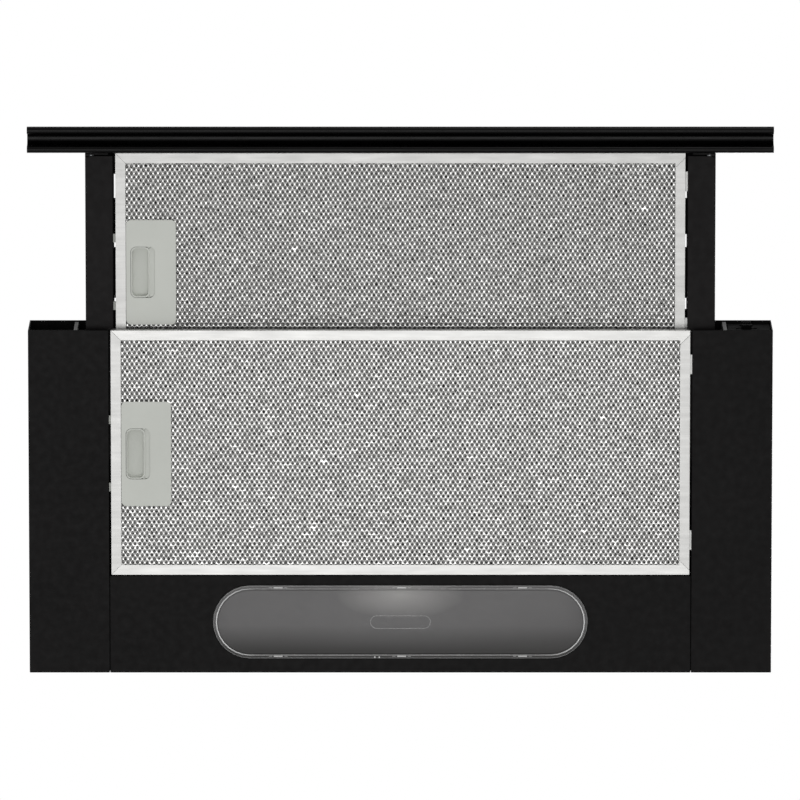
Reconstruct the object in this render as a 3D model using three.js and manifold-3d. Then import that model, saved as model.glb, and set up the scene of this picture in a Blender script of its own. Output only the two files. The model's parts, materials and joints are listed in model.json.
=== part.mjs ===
// Under-cabinet range hood with a pull-out drawer, shown with the drawer pulled out.
// Millimetres. +X runs along the front edge, +Y goes back to the wall, +Z goes up.
// The origin lies on the cabinet-mounting plane, in the middle of the strip along its front edge.
import * as THREE from 'three';
import { mergeVertices } from 'three/addons/utils/BufferGeometryUtils.js';
import Module from 'manifold-3d';

const wasm = await Module();
wasm.setup();

// ---------------------------------------------------------------- driving dimensions
const HOOD_WIDTH = 598;
const BODY_DEPTH = 280;
const BODY_HEIGHT = 50;
const WING_WIDTH = 64.7;
const FRONT_STRIP = 25;
const MOTOR_BOX_WIDTH = 470;
const MOTOR_BOX_HEIGHT = 130;
const DRAWER_TRAVEL = 142;
const FASCIA_DEPTH = 21;
const FASCIA_HEIGHT = 38;
const REAR_FILTER_WIDTH = 465.3;
const REAR_FILTER_DEPTH = 199.4;
const FRONT_FILTER_WIDTH = 457;
const FRONT_FILTER_DEPTH = 165;
const FILTER_THICKNESS = 8;
const OUTLET_DIAMETER = 120;
const LENS_LENGTH = 302;
const LENS_WIDTH = 59.6;

// ---------------------------------------------------------------- shared small dimensions
const SHEET = 1;
const GAP = 0.3;

const HALF_WIDTH = HOOD_WIDTH / 2;
const BODY_FRONT = -FRONT_STRIP / 2;
const BODY_REAR = BODY_FRONT + BODY_DEPTH;
const BODY_BOTTOM = -BODY_HEIGHT;
const WING_INNER = HALF_WIDTH - WING_WIDTH;
const PLATE_UNDERSIDE = -SHEET - GAP;

// ---------------------------------------------------------------- finishes
function finish(color, roughness, metalness) {
  return new THREE.MeshStandardMaterial({ color, roughness, metalness });
}

const blackPaint = finish(0x1f1d1e, 0.45, 0.2);
const blackAnodised = finish(0x141314, 0.3, 0.6);
const bareAluminium = finish(0xe6e5e2, 0.35, 0.9);
const meshAluminium = finish(0xa9a9a6, 0.5, 0.8);
const latchPlastic = finish(0xb2b5af, 0.55, 0);
const blackPlastic = finish(0x1b1b1c, 0.5, 0);
const guidePlastic = finish(0xc9cac8, 0.6, 0);
const whitePlastic = finish(0xd8d8d5, 0.6, 0);
const smokyPlastic = finish(0x6d6b6c, 0.25, 0);
const galvanisedSteel = finish(0xa3a7aa, 0.45, 0.9);
const polishedSteel = finish(0xc4c6c8, 0.25, 1);
const lampGlass = finish(0xf0efe9, 0.4, 0);
const capacitorCase = finish(0xb9bcc0, 0.35, 0.8);

// ---------------------------------------------------------------- solids
function toSolid(geometry) {
  const bare = geometry.clone();
  bare.deleteAttribute('normal');
  bare.deleteAttribute('uv');
  const merged = mergeVertices(bare, 1e-4);
  return new wasm.Manifold(new wasm.Mesh({
    numProp: 3,
    vertProperties: new Float32Array(merged.attributes.position.array),
    triVerts: new Uint32Array(merged.index.array),
  }));
}

function toGeometry(solid) {
  const mesh = solid.getMesh();
  const geometry = new THREE.BufferGeometry();
  geometry.setAttribute('position', new THREE.BufferAttribute(mesh.vertProperties, 3));
  geometry.setIndex(new THREE.BufferAttribute(mesh.triVerts, 1));
  geometry.computeVertexNormals();
  return geometry;
}

function join(...geometries) {
  return toGeometry(geometries.map(toSolid).reduce((whole, next) => whole.add(next)));
}

function cut(base, ...tools) {
  return toGeometry(tools.map(toSolid).reduce((left, tool) => left.subtract(tool), toSolid(base)));
}

// ---------------------------------------------------------------- basic shapes
function block([x0, x1], [y0, y1], [z0, z1]) {
  const geometry = new THREE.BoxGeometry(x1 - x0, y1 - y0, z1 - z0);
  return geometry.translate((x0 + x1) / 2, (y0 + y1) / 2, (z0 + z1) / 2);
}

// The X range between two distances from the middle, on the left (-1) or right (+1) side.
function onSide(side, inner, outer) {
  return side > 0 ? [inner, outer] : [-outer, -inner];
}

function around(middle, size) {
  return [middle - size / 2, middle + size / 2];
}

function rodAlongX(radius, [x0, x1], y, z, segments = 32) {
  const geometry = new THREE.CylinderGeometry(radius, radius, x1 - x0, segments);
  return geometry.rotateZ(-Math.PI / 2).translate((x0 + x1) / 2, y, z);
}

function rodAlongY(radius, [y0, y1], x, z, segments = 24) {
  const geometry = new THREE.CylinderGeometry(radius, radius, y1 - y0, segments);
  return geometry.translate(x, (y0 + y1) / 2, z);
}

function rodAlongZ(radius, [z0, z1], x, y, segments = 48) {
  const geometry = new THREE.CylinderGeometry(radius, radius, z1 - z0, segments);
  return geometry.rotateX(Math.PI / 2).translate(x, y, (z0 + z1) / 2);
}

// A shape drawn in the Y-Z plane, extruded along X.
function profileAlongX(shape, [x0, x1], curveSegments = 12) {
  const geometry = new THREE.ExtrudeGeometry(shape, { depth: x1 - x0, bevelEnabled: false, curveSegments });
  const yAxis = new THREE.Vector3(0, 1, 0);
  const zAxis = new THREE.Vector3(0, 0, 1);
  const xAxis = new THREE.Vector3(1, 0, 0);
  geometry.applyMatrix4(new THREE.Matrix4().makeBasis(yAxis, zAxis, xAxis));
  return geometry.translate(x0, 0, 0);
}

// A shape drawn in the X-Y plane, extruded along Z.
function profileAlongZ(shape, [z0, z1], curveSegments = 24) {
  const geometry = new THREE.ExtrudeGeometry(shape, { depth: z1 - z0, bevelEnabled: false, curveSegments });
  return geometry.translate(0, 0, z0);
}

// A straight-sided outline with semicircular ends, long side along X.
function stadium(length, width) {
  const radius = width / 2;
  const reach = length / 2 - radius;
  const shape = new THREE.Shape();
  shape.moveTo(-reach, -radius);
  shape.lineTo(reach, -radius);
  shape.absarc(reach, 0, radius, -Math.PI / 2, Math.PI / 2, false);
  shape.lineTo(-reach, radius);
  shape.absarc(-reach, 0, radius, Math.PI / 2, Math.PI * 1.5, false);
  return shape;
}

function roundedRectangle(width, height, radius) {
  const x = width / 2 - radius;
  const y = height / 2 - radius;
  const quarter = Math.PI / 2;
  const shape = new THREE.Shape();
  shape.absarc(x, -y, radius, -quarter, 0, false);
  shape.absarc(x, y, radius, 0, quarter, false);
  shape.absarc(-x, y, radius, quarter, Math.PI, false);
  shape.absarc(-x, -y, radius, Math.PI, Math.PI + quarter, false);
  shape.closePath();
  return shape;
}

// ---------------------------------------------------------------- scene graph
const hood = new THREE.Group();

function place(group, name, geometry, material) {
  const mesh = new THREE.Mesh(geometry, material);
  mesh.name = name;
  group.add(mesh);
  return mesh;
}

function subassembly(x = 0, y = 0, z = 0) {
  const group = new THREE.Group();
  group.position.set(x, y, z);
  hood.add(group);
  return group;
}

const SIDES = [['left', -1], ['right', 1]];

// ---------------------------------------------------------------- lower body
const FOLD_HEIGHT = 8;
const CATCH_HEIGHT = 2.2;
const WING_TOP_FLANGE = 15;
const REAR_FILTER_FRONT = BODY_FRONT + GAP;
const REAR_FILTER_REAR = REAR_FILTER_FRONT + REAR_FILTER_DEPTH;
const LIGHT_PANEL_FRONT = REAR_FILTER_REAR + 0.8;
const LIGHT_PANEL_FLANGE = 6;
const LENS_CENTRE_SHARE = 0.474;
const LENS_CENTRE_Y = LIGHT_PANEL_FRONT + (BODY_REAR - LIGHT_PANEL_FRONT) * LENS_CENTRE_SHARE;
const MOTOR_BOX_RIM = 8;
const MOTOR_BOX_FRONT = 24;
const MOTOR_BOX_REAR = 258;
const RECESS_DEPTH = 1.5;

// The motor box's footprint, grown or shrunk by a margin, over a range of heights.
function boxFootprint(margin, height) {
  const half = MOTOR_BOX_WIDTH / 2 + margin;
  return block([-half, half], [MOTOR_BOX_FRONT - margin, MOTOR_BOX_REAR + margin], height);
}

// The sheet against the cabinet, pressed down round its opening so that the motor box stands in a recess.
function topPlate() {
  const sheet = block([-HALF_WIDTH, HALF_WIDTH], [BODY_FRONT, BODY_REAR], [-SHEET, 0]);
  const tray = boxFootprint(2 * SHEET, [-RECESS_DEPTH - SHEET, -SHEET / 2]);
  const recess = boxFootprint(SHEET, [-RECESS_DEPTH, 1]);
  const opening = boxFootprint(-MOTOR_BOX_RIM, [-RECESS_DEPTH - 2 * SHEET, 1]);
  const frontFold = block(
    [-WING_INNER, WING_INNER], [BODY_FRONT, BODY_FRONT + SHEET], [-FOLD_HEIGHT, -SHEET / 2]);
  return cut(join(sheet, tray, frontFold), recess, opening);
}

// A folded channel, open at the front, that carries the drawer's side post inside it.
function wing(side) {
  const depth = [BODY_FRONT, BODY_REAR];
  const height = [BODY_BOTTOM, PLATE_UNDERSIDE];
  const floor = block(onSide(side, WING_INNER, HALF_WIDTH), depth, [BODY_BOTTOM, BODY_BOTTOM + SHEET]);
  const wall = block(onSide(side, HALF_WIDTH - SHEET, HALF_WIDTH), depth, height);
  const back = block(onSide(side, WING_INNER, HALF_WIDTH), [BODY_REAR - SHEET, BODY_REAR], height);
  const topFlange = block(
    onSide(side, HALF_WIDTH - WING_TOP_FLANGE, HALF_WIDTH), depth,
    [PLATE_UNDERSIDE - SHEET, PLATE_UNDERSIDE]);
  const filterCatch = block(
    onSide(side, WING_INNER, WING_INNER + SHEET), depth, [BODY_BOTTOM, BODY_BOTTOM + CATCH_HEIGHT]);
  return join(floor, wall, back, topFlange, filterCatch);
}

// The sheet under the lamps, folded up at the filter and up again as the back wall.
function lightPanel() {
  const across = [-WING_INNER + GAP, WING_INNER - GAP];
  const floor = block(across, [LIGHT_PANEL_FRONT, BODY_REAR], [BODY_BOTTOM, BODY_BOTTOM + SHEET]);
  const foldReach = WING_INNER - 5;
  const frontFold = block(
    [-foldReach, foldReach], [LIGHT_PANEL_FRONT, LIGHT_PANEL_FRONT + SHEET],
    [BODY_BOTTOM, BODY_BOTTOM + LIGHT_PANEL_FLANGE]);
  const backWall = block(across, [BODY_REAR - SHEET, BODY_REAR], [BODY_BOTTOM, PLATE_UNDERSIDE]);
  const lensHole = profileAlongZ(stadium(LENS_LENGTH + 2 * GAP, LENS_WIDTH + 2 * GAP), [-SHEET, 2 * SHEET]);
  lensHole.translate(0, LENS_CENTRE_Y, BODY_BOTTOM);
  return cut(join(floor, frontFold, backWall), lensHole);
}

// ---------------------------------------------------------------- drawer guides
const POST_INNER = 230.5;
const POST_OUTER = 252.7;
const POST_BOTTOM = -41;
const POST_TOP = -12;
const POST_WEB = 1.2;
const GUIDE_FRONT = BODY_FRONT + SHEET;
const GUIDE_DEPTH = 20;
const GUIDE_INNER = 259.4;
const GUIDE_OUTER = 262.5;
const RAIL_FRONT = GUIDE_FRONT + GUIDE_DEPTH + GAP;
const RAIL_REAR = 250;
const RAIL_WEB = 261;
const RAIL_THICKNESS = 1.2;
const RAIL_BOTTOM = -38;
const RAIL_TOP = -14;
const RAIL_HANGER = 13;
const POST_CLEARANCE = 1.8;

// A steel channel that hangs from the top plate and faces the drawer's post.
function guideRail(side) {
  const depth = [RAIL_FRONT, RAIL_REAR];
  const webOuter = RAIL_WEB + RAIL_THICKNESS;
  const web = block(onSide(side, RAIL_WEB, webOuter), depth, [RAIL_BOTTOM, PLATE_UNDERSIDE]);
  const hanger = block(
    onSide(side, RAIL_WEB, RAIL_WEB + RAIL_HANGER), depth,
    [PLATE_UNDERSIDE - RAIL_THICKNESS, PLATE_UNDERSIDE]);
  const lips = [RAIL_BOTTOM, RAIL_TOP - RAIL_THICKNESS].map((z) => block(
    onSide(side, POST_OUTER + POST_CLEARANCE, webOuter), depth, [z, z + RAIL_THICKNESS]));
  return join(web, hanger, ...lips);
}

// The plastic guide in the wing's mouth: an upright strip with a foot under the post's edge.
function frontGuide(side) {
  const depth = [GUIDE_FRONT, GUIDE_FRONT + GUIDE_DEPTH];
  const bottom = BODY_BOTTOM + SHEET + GAP;
  const upright = block(onSide(side, GUIDE_INNER, GUIDE_OUTER), depth, [bottom, PLATE_UNDERSIDE - SHEET]);
  const foot = block(onSide(side, POST_OUTER + 0.5, GUIDE_OUTER), depth, [bottom, bottom + 2.5]);
  return join(upright, foot);
}

// ---------------------------------------------------------------- lamps
const LAMP_HOUSING_TOP = -7;
const LAMP_HOUSING_WIDTH = 320;
const LAMP_WALL = 1.2;
const LAMP_Z = -27;
const LAMP_RADIUS = 15.5;
const HOLDER_RADIUS = 12;
const HOLDER_LENGTH = 24;
const SOCKET_FLOOR = 3;
const LAMP_BASE_RADIUS = 8.5;
const LAMP_BASE_LENGTH = 24;
const BULB_START = 28;
const LAMP_LENGTH = 98;

function lampHousing() {
  const halfWidth = LAMP_HOUSING_WIDTH / 2;
  const depth = [LIGHT_PANEL_FRONT + SHEET + 2, BODY_REAR - SHEET - 3];
  const bottom = BODY_BOTTOM + SHEET + GAP;
  const shell = block([-halfWidth, halfWidth], depth, [bottom, LAMP_HOUSING_TOP]);
  const hollow = block(
    [-halfWidth + LAMP_WALL, halfWidth - LAMP_WALL], [depth[0] + LAMP_WALL, depth[1] - LAMP_WALL],
    [bottom - 1, LAMP_HOUSING_TOP - LAMP_WALL]);
  return cut(shell, hollow);
}

// A cup with its mouth towards the middle of the hood.
function lampHolder(side) {
  const end = LAMP_HOUSING_WIDTH / 2 - LAMP_WALL - GAP;
  const body = rodAlongX(HOLDER_RADIUS, onSide(side, end - HOLDER_LENGTH, end), LENS_CENTRE_Y, LAMP_Z, 24);
  const socket = rodAlongX(
    LAMP_BASE_RADIUS + GAP, onSide(side, end - HOLDER_LENGTH - 1, end - SOCKET_FLOOR),
    LENS_CENTRE_Y, LAMP_Z, 24);
  return cut(body, socket);
}

// A candle lamp lying along X, its screw base in the holder and its tip towards the middle.
function lamp(side) {
  const baseEnd = LAMP_HOUSING_WIDTH / 2 - LAMP_WALL - SOCKET_FLOOR - 3 * GAP;
  const profile = [
    new THREE.Vector2(0, 0),
    new THREE.Vector2(LAMP_BASE_RADIUS, 1),
    new THREE.Vector2(LAMP_BASE_RADIUS, LAMP_BASE_LENGTH),
  ];
  const neckShare = 0.18;
  const fullness = 0.8;
  const steps = 12;
  for (let step = 0; step <= steps; step += 1) {
    const t = step / steps;
    const along = BULB_START + t * (LAMP_LENGTH - BULB_START);
    const swell = Math.sin(Math.PI * (neckShare + (1 - neckShare) * t) ** fullness);
    profile.push(new THREE.Vector2(step === steps ? 0 : Math.max(LAMP_RADIUS * swell, 0.6), along));
  }
  const geometry = new THREE.LatheGeometry(profile, 24);
  geometry.rotateZ(side > 0 ? Math.PI / 2 : -Math.PI / 2);
  return geometry.translate(side * baseEnd, LENS_CENTRE_Y, LAMP_Z);
}

// A shallow clear dish that snaps up into the panel; a bead marks its middle.
const LENS_PROUD = 1.5;
const LENS_WALL = 1.8;
const LENS_TOP = BODY_BOTTOM + 3.5;
const BEAD_LENGTH = 49;
const BEAD_WIDTH = 11;

function lens() {
  const bottom = BODY_BOTTOM - LENS_PROUD;
  const outside = profileAlongZ(stadium(LENS_LENGTH, LENS_WIDTH), [bottom, LENS_TOP], 20);
  const inside = profileAlongZ(
    stadium(LENS_LENGTH - 2 * LENS_WALL, LENS_WIDTH - 2 * LENS_WALL), [bottom + LENS_WALL, LENS_TOP + 1], 20);
  const bead = profileAlongZ(
    stadium(BEAD_LENGTH, BEAD_WIDTH), [bottom + LENS_WALL - 0.5, bottom + LENS_WALL + 0.6], 10);
  return join(cut(outside, inside), bead).translate(0, LENS_CENTRE_Y, 0);
}

// ---------------------------------------------------------------- motor box
const BOX_BOTTOM = -RECESS_DEPTH + GAP;
const BOX_TOP = MOTOR_BOX_HEIGHT + GAP;
const OUTLET_Y = (MOTOR_BOX_FRONT + MOTOR_BOX_REAR) / 2;
const GLAND_X = 190;
const GLAND_Y = 225;
const GLAND_RADIUS = 7.7;

// An upturned box with a flange round its open underside, turned inwards and screwed to the recess.
function motorBox() {
  const shell = boxFootprint(0, [BOX_BOTTOM, BOX_TOP]);
  const hollow = boxFootprint(-SHEET, [BOX_BOTTOM + SHEET, BOX_TOP - SHEET]);
  const underside = boxFootprint(-MOTOR_BOX_RIM, [BOX_BOTTOM - 1, BOX_BOTTOM + 2 * SHEET]);
  const roofSpan = [BOX_TOP - 2 * SHEET, BOX_TOP + SHEET];
  const outletHole = rodAlongZ(OUTLET_DIAMETER / 2 - 4, roofSpan, 0, OUTLET_Y);
  const glandHole = rodAlongZ(GLAND_RADIUS + GAP, roofSpan, GLAND_X, GLAND_Y, 24);
  return cut(shell, hollow, underside, outletHole, glandHole);
}

const SPIGOT_BASE = BOX_TOP + GAP;
const SPIGOT_LEDGE = 2;
const SPIGOT_HEIGHT = 28;
const SPIGOT_INNER = OUTLET_DIAMETER / 2 - 2;
const FLAP_THICKNESS = 1.2;
const FLAP_PIN_RADIUS = 1.5;
const FLAP_PIN_Z = SPIGOT_BASE + SPIGOT_LEDGE + GAP + 1.8;

// A round collar with a fixing flange, an inner ledge and a rib across it under the flaps.
function outletSpigot() {
  const ledgeRadius = SPIGOT_INNER - 4;
  const flangeRadius = OUTLET_DIAMETER / 2 + 10;
  const top = SPIGOT_BASE + SPIGOT_HEIGHT;
  const ledgeTop = SPIGOT_BASE + SPIGOT_LEDGE;
  const profile = [
    [ledgeRadius, SPIGOT_BASE], [flangeRadius, SPIGOT_BASE], [flangeRadius, ledgeTop],
    [OUTLET_DIAMETER / 2, ledgeTop], [OUTLET_DIAMETER / 2, top], [SPIGOT_INNER, top],
    [SPIGOT_INNER, ledgeTop], [ledgeRadius, ledgeTop], [ledgeRadius, SPIGOT_BASE],
  ].map(([radius, height]) => new THREE.Vector2(radius, height));
  const collar = new THREE.LatheGeometry(profile, 64).rotateX(Math.PI / 2).translate(0, OUTLET_Y, 0);
  const rib = block(
    [-ledgeRadius - 1, ledgeRadius + 1], around(OUTLET_Y, 6), [SPIGOT_BASE + 0.2, ledgeTop - 0.2]);
  return join(collar, rib);
}

function flapPin() {
  const reach = SPIGOT_INNER - 0.5;
  return rodAlongX(FLAP_PIN_RADIUS, [-reach, reach], OUTLET_Y, FLAP_PIN_Z, 16);
}

// One half of a butterfly damper: a half disc with its straight edge beside the pin.
function flap(direction) {
  const radius = SPIGOT_INNER - 1;
  const edge = FLAP_PIN_RADIUS + 0.4;
  const bottom = SPIGOT_BASE + SPIGOT_LEDGE + GAP;
  const disc = rodAlongZ(radius, [bottom, bottom + FLAP_THICKNESS], 0, 0, 64);
  const otherHalf = block([-radius - 1, radius + 1], [-radius - 1, edge], [bottom - 1, bottom + 3]);
  const half = cut(disc, otherHalf);
  if (direction < 0) half.rotateZ(Math.PI);
  return half.translate(0, OUTLET_Y, 0);
}

// The strain-relief gland for the mains lead: a threaded shank, a flange and a domed nut with a bore.
function cableGland() {
  const bore = 3.6;
  const flangeRadius = 12;
  const nutRadius = 10.5;
  const domeRadius = 8.5;
  const seat = BOX_TOP + GAP;
  const shankEnd = seat - 11;
  const flangeTop = seat + 5;
  const nutTop = flangeTop + 9;
  const profile = [
    [bore, shankEnd], [GLAND_RADIUS, shankEnd], [GLAND_RADIUS, seat], [flangeRadius, seat],
    [flangeRadius, flangeTop], [nutRadius, flangeTop + 1], [nutRadius, nutTop],
    [domeRadius, nutTop + 4], [bore, nutTop + 5], [bore, shankEnd],
  ].map(([radius, height]) => new THREE.Vector2(radius, height));
  return new THREE.LatheGeometry(profile, 24).rotateX(Math.PI / 2).translate(GLAND_X, GLAND_Y, 0);
}

// ---------------------------------------------------------------- blower
const SCROLL_WALL = 2;
const SCROLL_HALF_WIDTH = 46;
const SCROLL_START_RADIUS = 46;
const SCROLL_END_RADIUS = 58;
const TONGUE_ANGLE = THREE.MathUtils.degToRad(100);
const INLET_RADIUS = 35;
const IMPELLER_RADIUS = 40;
const IMPELLER_HALF_WIDTH = 39;
const BLADE_COUNT = 24;
const BLADE_DEPTH = 9;
const SHAFT_RADIUS = 4;
const TONGUE_Y = SCROLL_START_RADIUS * Math.cos(TONGUE_ANGLE);
const FAN_Y = OUTLET_Y - (SCROLL_END_RADIUS + TONGUE_Y) / 2;
const FAN_Z = 58;
const SCROLL_TOP = BOX_TOP - SHEET - GAP;
const MOTOR_RADIUS = 28;
const MOTOR_X = [52, 112];

// The blower's spiral outline in the Y-Z plane, inset by a wall, with its mouth upwards.
function scrollOutline(inset, mouthTop) {
  const shape = new THREE.Shape();
  const tongueRadius = SCROLL_START_RADIUS - inset;
  const steps = 28;
  shape.moveTo(FAN_Y + TONGUE_Y + inset, mouthTop);
  for (let step = 0; step <= steps; step += 1) {
    const t = step / steps;
    const angle = TONGUE_ANGLE + t * (2 * Math.PI - TONGUE_ANGLE);
    const radius = tongueRadius + t * (SCROLL_END_RADIUS - SCROLL_START_RADIUS);
    const y = FAN_Y + radius * Math.cos(angle) + (step === 0 ? inset : 0);
    shape.lineTo(y, FAN_Z + radius * Math.sin(angle));
  }
  shape.lineTo(FAN_Y + SCROLL_END_RADIUS - inset, mouthTop);
  shape.closePath();
  return shape;
}

function scrollHalf(side) {
  const outside = profileAlongX(scrollOutline(0, SCROLL_TOP), onSide(side, GAP / 2, SCROLL_HALF_WIDTH));
  const inside = profileAlongX(
    scrollOutline(SCROLL_WALL, SCROLL_TOP + 2), onSide(side, -1, SCROLL_HALF_WIDTH - SCROLL_WALL));
  const inlet = rodAlongX(INLET_RADIUS, onSide(side, 20, SCROLL_HALF_WIDTH + 5), FAN_Y, FAN_Z, 40);
  return cut(outside, inside, inlet);
}

function ringAlongX(outer, inner, [x0, x1], segments = 40) {
  const disc = rodAlongX(outer, [x0, x1], 0, 0, segments);
  return cut(disc, rodAlongX(inner, [x0 - 1, x1 + 1], 0, 0, segments));
}

// A double-inlet wheel: forward-leaning blades between two end rings, with a disc and hub in its middle.
function impeller() {
  const ringWidth = 2.5;
  const innerRadius = IMPELLER_RADIUS - BLADE_DEPTH;
  const parts = [
    ringAlongX(IMPELLER_RADIUS, innerRadius, [-IMPELLER_HALF_WIDTH, -IMPELLER_HALF_WIDTH + ringWidth]),
    ringAlongX(IMPELLER_RADIUS, innerRadius, [IMPELLER_HALF_WIDTH - ringWidth, IMPELLER_HALF_WIDTH]),
    ringAlongX(IMPELLER_RADIUS, SHAFT_RADIUS + GAP, [-1, 1]),
    ringAlongX(SHAFT_RADIUS + 5, SHAFT_RADIUS + GAP, [-12, 12], 24),
  ];
  for (let index = 0; index < BLADE_COUNT; index += 1) {
    const blade = block([-IMPELLER_HALF_WIDTH + 1, IMPELLER_HALF_WIDTH - 1], [-BLADE_DEPTH / 2 + 0.6,
      BLADE_DEPTH / 2 - 0.6], [-0.6, 0.6]);
    blade.rotateX(THREE.MathUtils.degToRad(28));
    blade.translate(0, IMPELLER_RADIUS - BLADE_DEPTH / 2, 0);
    blade.rotateX((index / BLADE_COUNT) * 2 * Math.PI);
    parts.push(blade);
  }
  return join(...parts).translate(0, FAN_Y, FAN_Z);
}

function motorShaft() {
  return rodAlongX(SHAFT_RADIUS, [-IMPELLER_HALF_WIDTH, MOTOR_X[0] + 20], FAN_Y, FAN_Z, 24);
}

function motorCan() {
  const body = rodAlongX(MOTOR_RADIUS, MOTOR_X, FAN_Y, FAN_Z, 40);
  const nose = rodAlongX(13, [MOTOR_X[0] - 3, MOTOR_X[0] + 1], FAN_Y, FAN_Z, 24);
  const tail = rodAlongX(13, [MOTOR_X[1] - 1, MOTOR_X[1] + 5], FAN_Y, FAN_Z, 24);
  const bore = rodAlongX(SHAFT_RADIUS + GAP, [MOTOR_X[0] - 5, MOTOR_X[0] + 21], FAN_Y, FAN_Z, 24);
  return cut(join(body, nose, tail), bore);
}

// A spider of three arms that clamps the motor and stands on the blower's side wall.
function motorBracket() {
  const legRadius = INLET_RADIUS + 5;
  const face = SCROLL_HALF_WIDTH + GAP;
  const ringSpan = [MOTOR_X[0] + 8, MOTOR_X[0] + 18];
  const parts = [ringAlongX(MOTOR_RADIUS + 3, MOTOR_RADIUS + GAP, ringSpan)];
  for (let index = 0; index < 3; index += 1) {
    const turn = (index / 3) * 2 * Math.PI + Math.PI / 2;
    const arm = block(ringSpan, [MOTOR_RADIUS + 1.5, legRadius + 2], [-5, 5]);
    const leg = block([face, ringSpan[1]], [legRadius - 2, legRadius + 2], [-5, 5]);
    parts.push(arm.rotateX(turn), leg.rotateX(turn));
  }
  return join(...parts).translate(0, FAN_Y, FAN_Z);
}

const BOX_REAR_INSIDE = MOTOR_BOX_REAR - SHEET - GAP;
const CAPACITOR_RADIUS = 15;
const CAPACITOR_LENGTH = 55;
const CAPACITOR_CENTRE_X = -177.5;
const CAPACITOR_Z = 60;
const TERMINAL_CENTRE_X = 162.5;
const TERMINAL_CENTRE_Z = 77;
const TERMINAL_WIDTH = 85;
const TERMINAL_HEIGHT = 42;
const TERMINAL_DEPTH = 36;
const TERMINAL_WALL = 4;
const LID_THICKNESS = 2;

// It lies against the rear wall of the motor box.
function capacitor() {
  const span = around(CAPACITOR_CENTRE_X, CAPACITOR_LENGTH);
  return rodAlongX(CAPACITOR_RADIUS, span, BOX_REAR_INSIDE - CAPACITOR_RADIUS, CAPACITOR_Z, 28);
}

// The terminal box's outline seen from the front, shrunk by a margin, over a range of depths.
function terminalBlock(margin, depth) {
  return block(
    around(TERMINAL_CENTRE_X, TERMINAL_WIDTH - 2 * margin), depth,
    around(TERMINAL_CENTRE_Z, TERMINAL_HEIGHT - 2 * margin));
}

function terminalBox() {
  const front = BOX_REAR_INSIDE - TERMINAL_DEPTH;
  const body = terminalBlock(0, [front, BOX_REAR_INSIDE]);
  return cut(body, terminalBlock(TERMINAL_WALL, [front - 1, BOX_REAR_INSIDE - TERMINAL_WALL + 1]));
}

function terminalLid() {
  const rear = BOX_REAR_INSIDE - TERMINAL_DEPTH - GAP;
  return terminalBlock(0, [rear - LID_THICKNESS, rear]);
}

// ---------------------------------------------------------------- controls in the right wing's mouth
const PANEL_INNER = GUIDE_OUTER + 1;
const PANEL_OUTER = HALF_WIDTH - SHEET - 0.5;
const PANEL_FRONT = BODY_FRONT + 2.5;
const PANEL_THICKNESS = 2;
const PANEL_MIDDLE = 278.5;
const FAN_SLIDER_Z = -27;
const LIGHT_SLIDER_Z = -13;
const KNOB_WIDTH = 8;
const KNOB_HEIGHT = 6;
const STEM_HEIGHT = 3;
const KNOB_PROUD = 3.5;
const KNOB_GROOVE = 0.5;
const FAN_SLIDER_TRAVEL = 12;
const LIGHT_SLIDER_TRAVEL = 6;
const SWITCH_BLOCK_DEPTH = 22;
const SWITCH_BLOCK_HEIGHT = [-42, -6];

function controlPlate() {
  const plate = block(
    [PANEL_INNER, PANEL_OUTER], [PANEL_FRONT, PANEL_FRONT + PANEL_THICKNESS],
    [BODY_BOTTOM + SHEET + GAP, PLATE_UNDERSIDE - SHEET - GAP]);
  const slots = [[FAN_SLIDER_Z, FAN_SLIDER_TRAVEL], [LIGHT_SLIDER_Z, LIGHT_SLIDER_TRAVEL]].map(
    ([z, travel]) => block(
      around(PANEL_MIDDLE, KNOB_WIDTH / 2 + travel + 1), [PANEL_FRONT - 1, PANEL_FRONT + PANEL_THICKNESS + 1],
      around(z, STEM_HEIGHT + 0.8)));
  return cut(plate, ...slots);
}

// A ribbed thumb knob in front of the plate, with a stem through the plate's slot.
function switchSlider(z) {
  const knob = block(
    around(PANEL_MIDDLE, KNOB_WIDTH), [PANEL_FRONT - KNOB_PROUD, PANEL_FRONT - GAP], around(z, KNOB_HEIGHT));
  const stem = block(
    around(PANEL_MIDDLE, KNOB_WIDTH / 2), [PANEL_FRONT - 1, PANEL_FRONT + PANEL_THICKNESS + 1.5],
    around(z, STEM_HEIGHT));
  const grooveSpan = [PANEL_FRONT - KNOB_PROUD - 1, PANEL_FRONT - KNOB_PROUD + KNOB_GROOVE];
  const grooves = [-2, 0, 2].map((offset) => block(
    around(PANEL_MIDDLE + offset, 0.8), grooveSpan, around(z, KNOB_HEIGHT + 2)));
  return cut(join(knob, stem), ...grooves);
}

function switchBlock() {
  const front = PANEL_FRONT + PANEL_THICKNESS + 2;
  return block([PANEL_INNER + 3, PANEL_OUTER - 3], [front, front + SWITCH_BLOCK_DEPTH], SWITCH_BLOCK_HEIGHT);
}

// ---------------------------------------------------------------- microswitch behind the left post
const POST_FRONT_LOCAL = 1.5;
const POST_REAR_LOCAL = 251;
const DRAWER_CLOSED_GAP = 1.5;
const DRAWER_Y = BODY_FRONT - DRAWER_TRAVEL - DRAWER_CLOSED_GAP;
const POST_REAR_CLOSED = DRAWER_Y + POST_REAR_LOCAL + DRAWER_TRAVEL;
const PLUNGER_STROKE = 2.5;
const PLUNGER_TIP = POST_REAR_CLOSED + 0.5;
const SWITCH_FRONT = PLUNGER_TIP + PLUNGER_STROKE + 1;
const SWITCH_X = -246;
const SWITCH_Z = -12.5;
const SWITCH_DEPTH = 20;
const PLUNGER_WIDTH = 4;

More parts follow.
